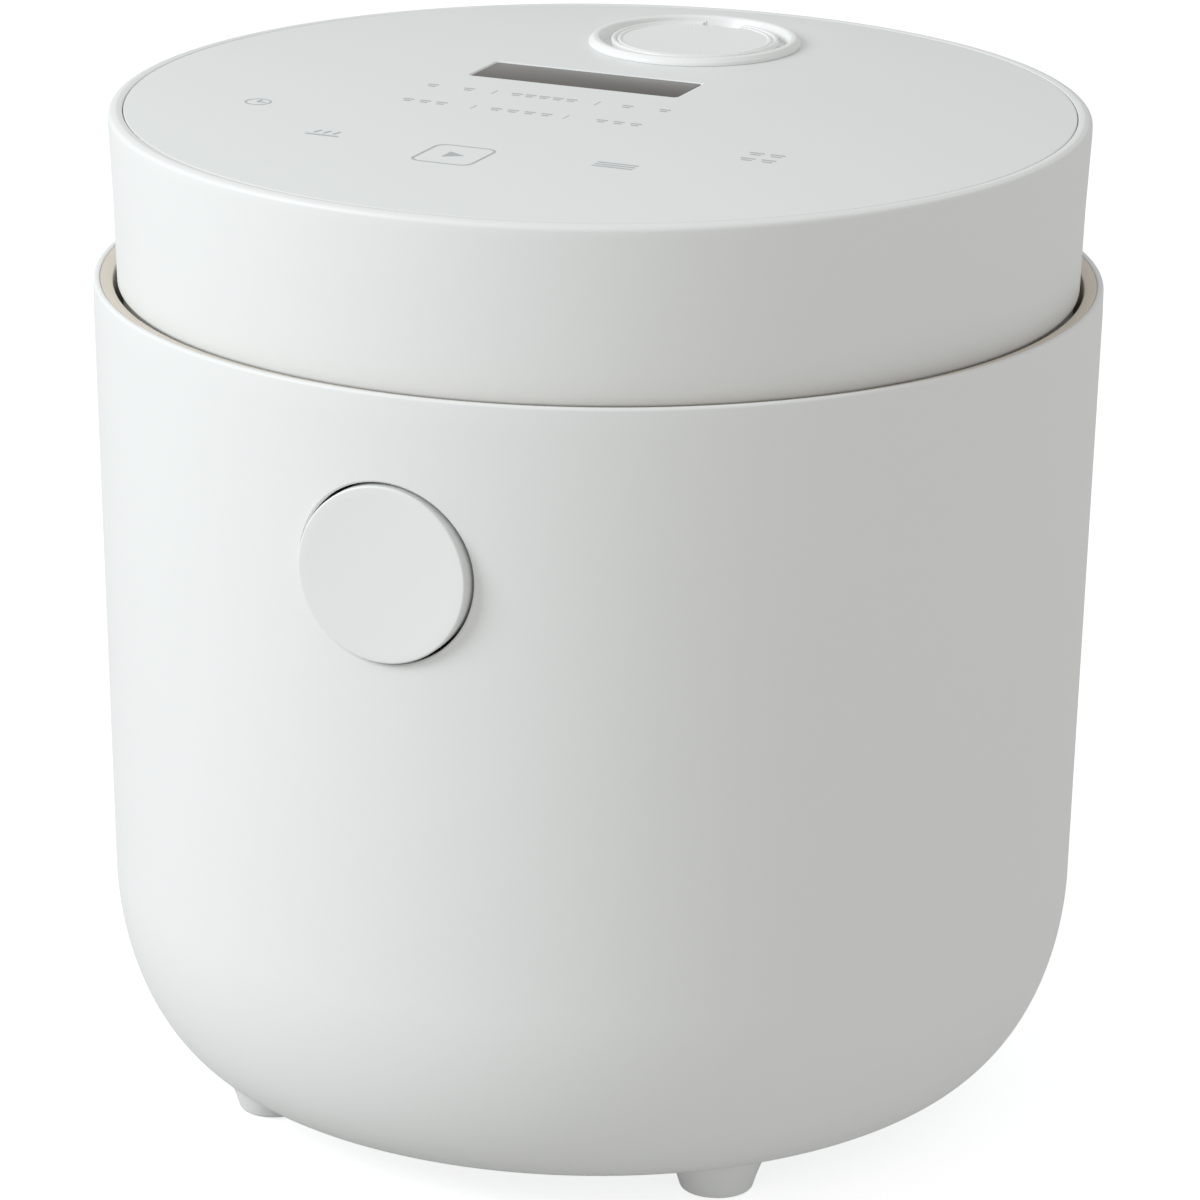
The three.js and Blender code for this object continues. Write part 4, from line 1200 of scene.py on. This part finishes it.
def build_gasket():
    """The soft ring that grips the inner plate's edge and seals against the pot."""
    low, high = edges_of("pot_gasket")
    z = PLATE_LOW.z
    edge = PLATE_HIGH.x + 0.3
    r = high.x
    inner = r - 5.7
    gasket = turned(
        "pot_seal",
        rounded([(inner, low.z + 0.3, 0.3), (r - 3.4, low.z + 0.45, 0.8), (r - 1.2, low.z, 0.5),
                 (r, low.z + 1.2, 0.6), (r - 0.3, high.z, 0.5), (inner, high.z - 0.2, 0.3),
                 (inner, z + 3.2), (edge, z + 3.2), (edge, z + 1.2), (inner, z + 1.2)], 4),
        "grey_silicone",
    )
    place(gasket, "lid", "silicone_grey", "pot_gasket")


def build_knob():
    low, high = edges_of("lid_knob")
    clip = LINER_LOW.z + 2.1
    seat = low.z + 6
    knob = turned(
        "pull_knob",
        rounded([(0, low.z + 0.5), (3.0, low.z + 0.3), (6.4, low.z, 1.6), (8.1, low.z + 2.2, 1.4),
                 (6.6, low.z + 4.6, 1.2), (8, seat, 0.4), (3.2, seat, 0.3), (3.2, clip, 0.2),
                 (5, clip, 0.4), (4.2, high.z, 0.5), (0, high.z)], 6),
        "grey_silicone", BODY, 96,
    )
    place(knob, "lid", "silicone_grey", "lid_knob")


# ------------------------------------------------------------------ pot
def build_pot():
    low, high = POT_LOW, POT_HIGH
    wall, thick, corner = 78.5, 2.2, 18.0
    flange = high.x
    outline = rounded(
        [(0, low.z), (wall, low.z, corner), (wall, high.z - 1.9, 0.8), (flange, high.z - 1.9, 0.85),
         (flange, high.z, 0.85), (wall - thick, high.z, 1.6),
         (wall - thick, low.z + thick, corner - thick), (0, low.z + thick)],
        12,
    )
    pot = turned("cooking_pot", outline, "non_stick")
    place(pot, "body", "non_stick", "inner_pot")


# ------------------------------------------------------------------ hinge housing and inlet
def onto_hinge(obj):
    """Lays a piece made upright about the origin along the hinge's line."""
    y, z = HINGE
    across = Euler((0, math.pi / 2, 0)).to_matrix().to_4x4()
    obj.data.transform(Matrix.Translation((0, y * MM, z * MM)) @ across)
    return obj


def hinge_bore():
    """A long plug that cuts the hole for the hinge pin."""
    plug = [(0, -40), (BORE, -40), (BORE, 40), (0, 40)]
    return onto_hinge(turned("bore", plug, None, (0, 0), 64))


def build_housing():
    low, high = HOUSE_LOW, HOUSE_HIGH
    y, z = HINGE
    top = 181.5
    half, back = high.x, high.y
    bottom = low.z

    def plan(inset):
        a, b = half - inset, back - inset
        return rounded(
            [(-a, AXIS_Y + 92), (a, AXIS_Y + 92), (a, b - 12, 14), (a - 8, b, 9), (8 - a, b, 9),
             (-a, b - 12, 14)],
            8,
        )

    def side(inset):
        b, t, s = back - inset, top - inset, bottom + inset
        return rounded(
            [(AXIS_Y + 88, s), (b - 16, s, 6), (b - 4, s + 8, 8), (b, s + 17, 10), (b, t, 6),
             (AXIS_Y + 88, t)],
            8,
        )

    house = extruded("hinge_housing", plan(0), bottom, top, "satin_white")
    combine(house, [extruded("side", side(0), -half - 1, half + 1, None, "x")], "INTERSECT")
    soften(house, 1.6, 4)
    hollow = extruded("hollow", plan(SKIN), bottom, top, None)
    combine(hollow, [extruded("side", side(SKIN), -half, half, None, "x")], "INTERSECT")
    mouth = extruded(
        "mouth", box_outline(15, 10, 1.5, (0, INLET_Z)), back - 6, back + 2, None, "y"
    )
    combine(house, [hollow, drum("drum", 0.3), mouth])
    ear = [(y + KNUCKLE, top - 1), (y - KNUCKLE, top - 1)]
    ear += [
        (y - KNUCKLE * math.cos(math.pi * i / 32), z + KNUCKLE * math.sin(math.pi * i / 32))
        for i in range(33)
    ]
    ears = [
        soften(extruded("ear", ear, x, x + 6.5, "satin_white", "x"), 0.6, 3) for x in (-31, 24.5)
    ]
    combine(house, ears, "UNION")
    combine(house, [hinge_bore()])
    place(house, "body", "shell_white", "rear_housing")


def build_hinge():
    y, z = HINGE
    inner = y - 22.0
    start, end = math.radians(-120), math.radians(120)
    arm = [(inner, z - 5), (y - 5, z - 5)]
    for i in range(41):
        angle = start + (end - start) * i / 40
        arm.append((y + KNUCKLE * math.cos(angle), z + KNUCKLE * math.sin(angle)))
    arm += [(y - 5, z + 5), (inner, z + 5)]
    plate = extruded(
        "hinge_arms", box_outline(26.5, 7, 2, (0, z)), y - 22.5, y - 20.2, "satin_white", "y"
    )
    sides = [
        soften(extruded("arm", arm, x, x + 10.5, "satin_white", "x"), 0.6, 3) for x in (-23.5, 13)
    ]
    combine(plate, sides, "UNION")
    plug = [(0, y - 30), (1.8, y - 30), (1.8, y - 18), (0, y - 18)]
    holes = [turned("hole", plug, None, (x, z), 32, "y") for x in (-4, 4)]
    combine(plate, [hinge_bore(), *holes])
    place(plate, "lid", "shell_white", "hinge_arm")
    low, high = PIN_LOW, PIN_HIGH
    radius = (high.z - low.z) / 2
    rod = rounded([(0, low.x), (radius, low.x, 0.6), (radius, high.x, 0.6), (0, high.x)], 4)
    pin = onto_hinge(turned("hinge_axle", rod, "zinc_steel", (0, 0), 64))
    place(pin, "body", "steel", "hinge_pin")


def build_inlet():
    low, high = INLET_LOW, INLET_HIGH
    front = box_outline(high.x, (high.z - low.z) / 2, 1.2, (0, INLET_Z))
    block = extruded("inlet_body", front, low.y, high.y, "charcoal", "y")
    opening = box_outline(11.5, 6.5, 5.5, (0, INLET_Z), 10)
    mouth = extruded("mouth", opening, high.y - 13, high.y + 1, None, "y")
    near, far = low.y - 1, high.y - 12
    holes = [
        turned("hole", [(0, near), (1.8, near), (1.8, far), (0, far)], None, (x, INLET_Z), 32, "y")
        for x in (-PIN_X, PIN_X)
    ]
    combine(block, [mouth, *holes])
    soften(block, 0.35, 3)
    place(block, "body", "dark_plastic", "inlet_socket")
    pin_low, pin_high = edges_of("inlet_pin_left")
    rod = rounded(
        [(0, pin_low.y), (1.5, pin_low.y, 0.3), (1.5, pin_high.y, 1.1), (0, pin_high.y)], 5
    )
    pin = turned("pin", rod, None, (0, INLET_Z), 40, "y")
    pins = grown("inlet_pins", row_tree(), "bright_brass", Piece=pin, Count=2,
                 Start=(-PIN_X * MM, 0.0, 0.0), Step=(2 * PIN_X * MM, 0.0, 0.0))
    bpy.data.objects.remove(pin)
    place(pins, "body", "brass_pin", "inlet_pin_left", "inlet_pin_right")


# ------------------------------------------------------------------ springs and hidden pieces
def travel_of(joint):
    """How far a sliding joint can go, in millimetres."""
    return next(max(row["range_m"]) for row in frame["joints"] if row["name"] == joint) / MM


def build_springs():
    """Two coil springs, each wound to fill the length of its CAD node."""
    for name, node, joint, axis, radius, wire, turns in (
        ("button_return_spring", "button_spring", "button_press", Vector((0, 1, 0)), 9, 0.6, 2.0),
        ("sensor_return_spring", "sensor_spring", "sensor_travel", Vector((0, 0, 1)), 7, 0.7, 5.0),
    ):
        low, high = edges_of(node)
        along_y = axis.y > 0
        span = (high - low).dot(axis)
        length = span - 2 * wire
        start = (low + high) / 2 - axis * length / 2
        spring = grown(
            name, coil_tree(), "zinc_steel", Turns=turns, Radius=radius * MM,
            Height=length * MM, Wire=wire * MM,
            Turn=(-math.pi / 2 if along_y else 0.0, 0.0, 0.0), Centre=tuple(start * MM),
        )
        place(spring, "body", "steel", node)
        1 - (travel_of(joint) + 0.1) / span
        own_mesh(spring)


HIDDEN = {
    "heat_chamber": "dull_sheet", "heating_plate": "spun_aluminium", "heater_element": "zinc_steel",
    "chassis": "charcoal", "sensor_bracket": "zinc_steel", "sensor_cup": "spun_aluminium",
    "thermal_fuse": "charcoal", "power_board": "green_board", "transformer": "charcoal",
    "relay": "charcoal", "capacitor": "dull_sheet", "button_guide": "charcoal",
    "latch_bracket": "zinc_steel", "latch_pin": "zinc_steel", "display_module": "charcoal",
    "control_board": "green_board", "striker": "zinc_steel", "hinge_screw_1": "zinc_steel",
    "hinge_screw_2": "zinc_steel",
}


def paint_hidden():
    """Gives each CAD node that stays the finish of its own material."""
    for node, finish in HIDDEN.items():
        mesh = frame["nodes"][node].data
        mesh.materials.clear()
        mesh.materials.append(finish_of(finish))


# ------------------------------------------------------------------ stage
def aim(obj, target):
    obj.rotation_mode = "QUATERNION"
    obj.rotation_quaternion = (Vector(target) - obj.location).to_track_quat("-Z", "Y")


def direction(turn, rise):
    """A unit vector that points up by rise, and round from the front to the right by turn."""
    return Vector((
        math.sin(turn) * math.cos(rise), -math.cos(turn) * math.cos(rise), math.sin(rise)
    ))


def build_floors():
    """A floor that only the camera sees, and one just below it that only throws light back."""
    half = 4000.0
    corners = [(-half, -half), (half, -half), (half, half), (-half, half)]
    for finish, z, seen in (("seen_floor", 0.0, True), ("bounce_floor", -0.5, False)):
        floor = mesh_object(finish, [(x, y, z) for x, y in corners], [(0, 1, 2, 3)], finish)
        floor.visible_camera = seen
        floor.visible_diffuse = floor.visible_glossy = not seen


def build_room():
    """An even soft room round the object, plain white where it is seen directly."""
    world = bpy.data.worlds.new("soft_room")
    bpy.context.scene.world = world
    world.use_nodes = True
    nodes, links = world.node_tree.nodes, world.node_tree.links
    nodes.clear()
    pick = nodes.new("ShaderNodeMixShader")
    lit, seen = ((1.0, 0.995, 0.98, 1.0), 0.63), ((1.0, 1.0, 1.0, 1.0), 1.0)
    for slot, (colour, strength) in ((1, lit), (2, seen)):
        glow = nodes.new("ShaderNodeBackground")
        glow.inputs["Color"].default_value, glow.inputs["Strength"].default_value = colour, strength
        links.new(glow.outputs[0], pick.inputs[slot])
    ray, out = nodes.new("ShaderNodeLightPath"), nodes.new("ShaderNodeOutputWorld")
    links.new(ray.outputs["Is Camera Ray"], pick.inputs[0])
    links.new(pick.outputs[0], out.inputs[0])


def build_key_light(middle):
    key = bpy.data.lights.new("window_light", "AREA")
    key.shape, key.size, key.energy, key.color = "SQUARE", 0.7, 19.0, (0.93, 0.975, 1.0)
    lamp = bpy.data.objects.new("window_light", key)
    bpy.context.scene.collection.objects.link(lamp)
    lamp.location = middle + direction(math.radians(-47.4), math.radians(30)) * 1.8
    aim(lamp, middle)


def build_camera(middle):
    camera = bpy.data.cameras.new("camera")
    holder = bpy.data.objects.new("camera", camera)
    bpy.context.scene.collection.objects.link(holder)
    bpy.context.scene.camera = holder
    back = direction(shape().view_angle, math.radians(17.63))
    holder.location = middle + back * 1.3357
    holder.rotation_mode = "QUATERNION"
    level = (-back).to_track_quat("-Z", "Y").to_matrix()
    holder.rotation_quaternion = (level @ Matrix.Rotation(0.0110, 3, "Z")).to_quaternion()
    camera.sensor_width, camera.lens = 36.0, 183.83
    camera.shift_x, camera.shift_y = 0.0041, -0.0046
    camera.clip_start, camera.clip_end = 0.05, 50.0


def build_stage():
    bpy.context.scene.view_settings.view_transform = "Standard"
    middle = Vector((0, AXIS_Y * MM, 0.11))
    build_floors()
    build_room()
    build_key_light(middle)
    build_camera(middle)


# ------------------------------------------------------------------ operators and panel
class COOKER_OT_shell(bpy.types.Operator):
    """Builds the white outer shell with its button hole"""

    bl_idname = "cooker.shell"
    bl_label = "Outer Shell"

    def execute(self, context):
        build_shell()
        return {"FINISHED"}


class COOKER_OT_collar(bpy.types.Operator):
    """Builds the cream funnel and ledge inside the rim"""

    bl_idname = "cooker.collar"
    bl_label = "Rim Funnel"

    def execute(self, context):
        build_collar()
        return {"FINISHED"}


class COOKER_OT_base(bpy.types.Operator):
    """Builds the base plate, feet, pads and base screws"""

    bl_idname = "cooker.base"
    bl_label = "Base"

    def execute(self, context):
        build_base()
        build_feet()
        build_base_screws()
        return {"FINISHED"}


class COOKER_OT_button(bpy.types.Operator):
    """Builds the dished release button and the latch hook"""

    bl_idname = "cooker.button"
    bl_label = "Button and Latch"

    def execute(self, context):
        build_button()
        build_latch()
        return {"FINISHED"}


class COOKER_OT_pot(bpy.types.Operator):
    """Builds the dark cooking pot"""

    bl_idname = "cooker.pot"
    bl_label = "Cooking Pot"

    def execute(self, context):
        build_pot()
        return {"FINISHED"}


class COOKER_OT_lid(bpy.types.Operator):
    """Builds the lid drum, its panel, window and printed signs"""

    bl_idname = "cooker.lid"
    bl_label = "Lid"

    def execute(self, context):
        build_lid_shell()
        build_panel()
        build_signs()
        return {"FINISHED"}


class COOKER_OT_underside(bpy.types.Operator):
    """Builds the lid's floor, inner plate, seal and knob"""

    bl_idname = "cooker.underside"
    bl_label = "Lid Underside"

    def execute(self, context):
        build_liner()
        build_inner_plate()
        build_gasket()
        build_knob()
        return {"FINISHED"}


class COOKER_OT_steam(bpy.types.Operator):
    """Builds the steam cap and the duct below it"""

    bl_idname = "cooker.steam"
    bl_label = "Steam Cap"

    def execute(self, context):
        build_steam_cap()
        build_steam_port()
        return {"FINISHED"}


class COOKER_OT_hinge(bpy.types.Operator):
    """Builds the hinge housing, arms and pin"""

    bl_idname = "cooker.hinge"
    bl_label = "Hinge"

    def execute(self, context):
        build_housing()
        build_hinge()
        return {"FINISHED"}


class COOKER_OT_inlet(bpy.types.Operator):
    """Builds the two-pin inlet on the back"""

    bl_idname = "cooker.inlet"
    bl_label = "Power Inlet"

    def execute(self, context):
        build_inlet()
        return {"FINISHED"}


class COOKER_OT_springs(bpy.types.Operator):
    """Winds the button and sensor springs"""

    bl_idname = "cooker.springs"
    bl_label = "Springs"

    def execute(self, context):
        build_springs()
        return {"FINISHED"}


class COOKER_OT_hidden(bpy.types.Operator):
    """Gives the pieces inside their finishes"""

    bl_idname = "cooker.hidden"
    bl_label = "Hidden Pieces"

    def execute(self, context):
        paint_hidden()
        return {"FINISHED"}


class COOKER_OT_stage(bpy.types.Operator):
    """Sets up the floor, light and camera"""

    bl_idname = "cooker.stage"
    bl_label = "Stage"

    def execute(self, context):
        build_stage()
        return {"FINISHED"}


OPERATORS = (
    COOKER_OT_shell, COOKER_OT_collar, COOKER_OT_base, COOKER_OT_button, COOKER_OT_pot,
    COOKER_OT_lid, COOKER_OT_underside, COOKER_OT_steam, COOKER_OT_hinge, COOKER_OT_inlet,
    COOKER_OT_springs, COOKER_OT_hidden, COOKER_OT_stage,
)


class COOKER_PT_builder(bpy.types.Panel):
    """Sidebar panel that lists the building steps"""

    bl_label = "Rice Cooker"
    bl_idname = "COOKER_PT_builder"
    bl_space_type = "VIEW_3D"
    bl_region_type = "UI"
    bl_category = "Cooker"

    def draw(self, context):
        for settings in (context.scene.cooker_shape, context.scene.cooker_colours):
            for name in settings.__annotations__:
                self.layout.prop(settings, name)
        for operator in OPERATORS:
            self.layout.operator(operator.bl_idname)


CLASSES = (CookerShape, CookerColours, *OPERATORS, COOKER_PT_builder)


def register():
    for cls in CLASSES:
        bpy.utils.register_class(cls)
    bpy.types.Scene.cooker_shape = bpy.props.PointerProperty(type=CookerShape)
    bpy.types.Scene.cooker_colours = bpy.props.PointerProperty(type=CookerColours)


def unregister():
    del bpy.types.Scene.cooker_colours
    del bpy.types.Scene.cooker_shape
    for cls in reversed(CLASSES):
        bpy.utils.unregister_class(cls)


def main():
    register()
    for operator in OPERATORS:
        group, name = operator.bl_idname.split(".")
        getattr(getattr(bpy.ops, group), name)()


if __name__ == "__main__":
    main()
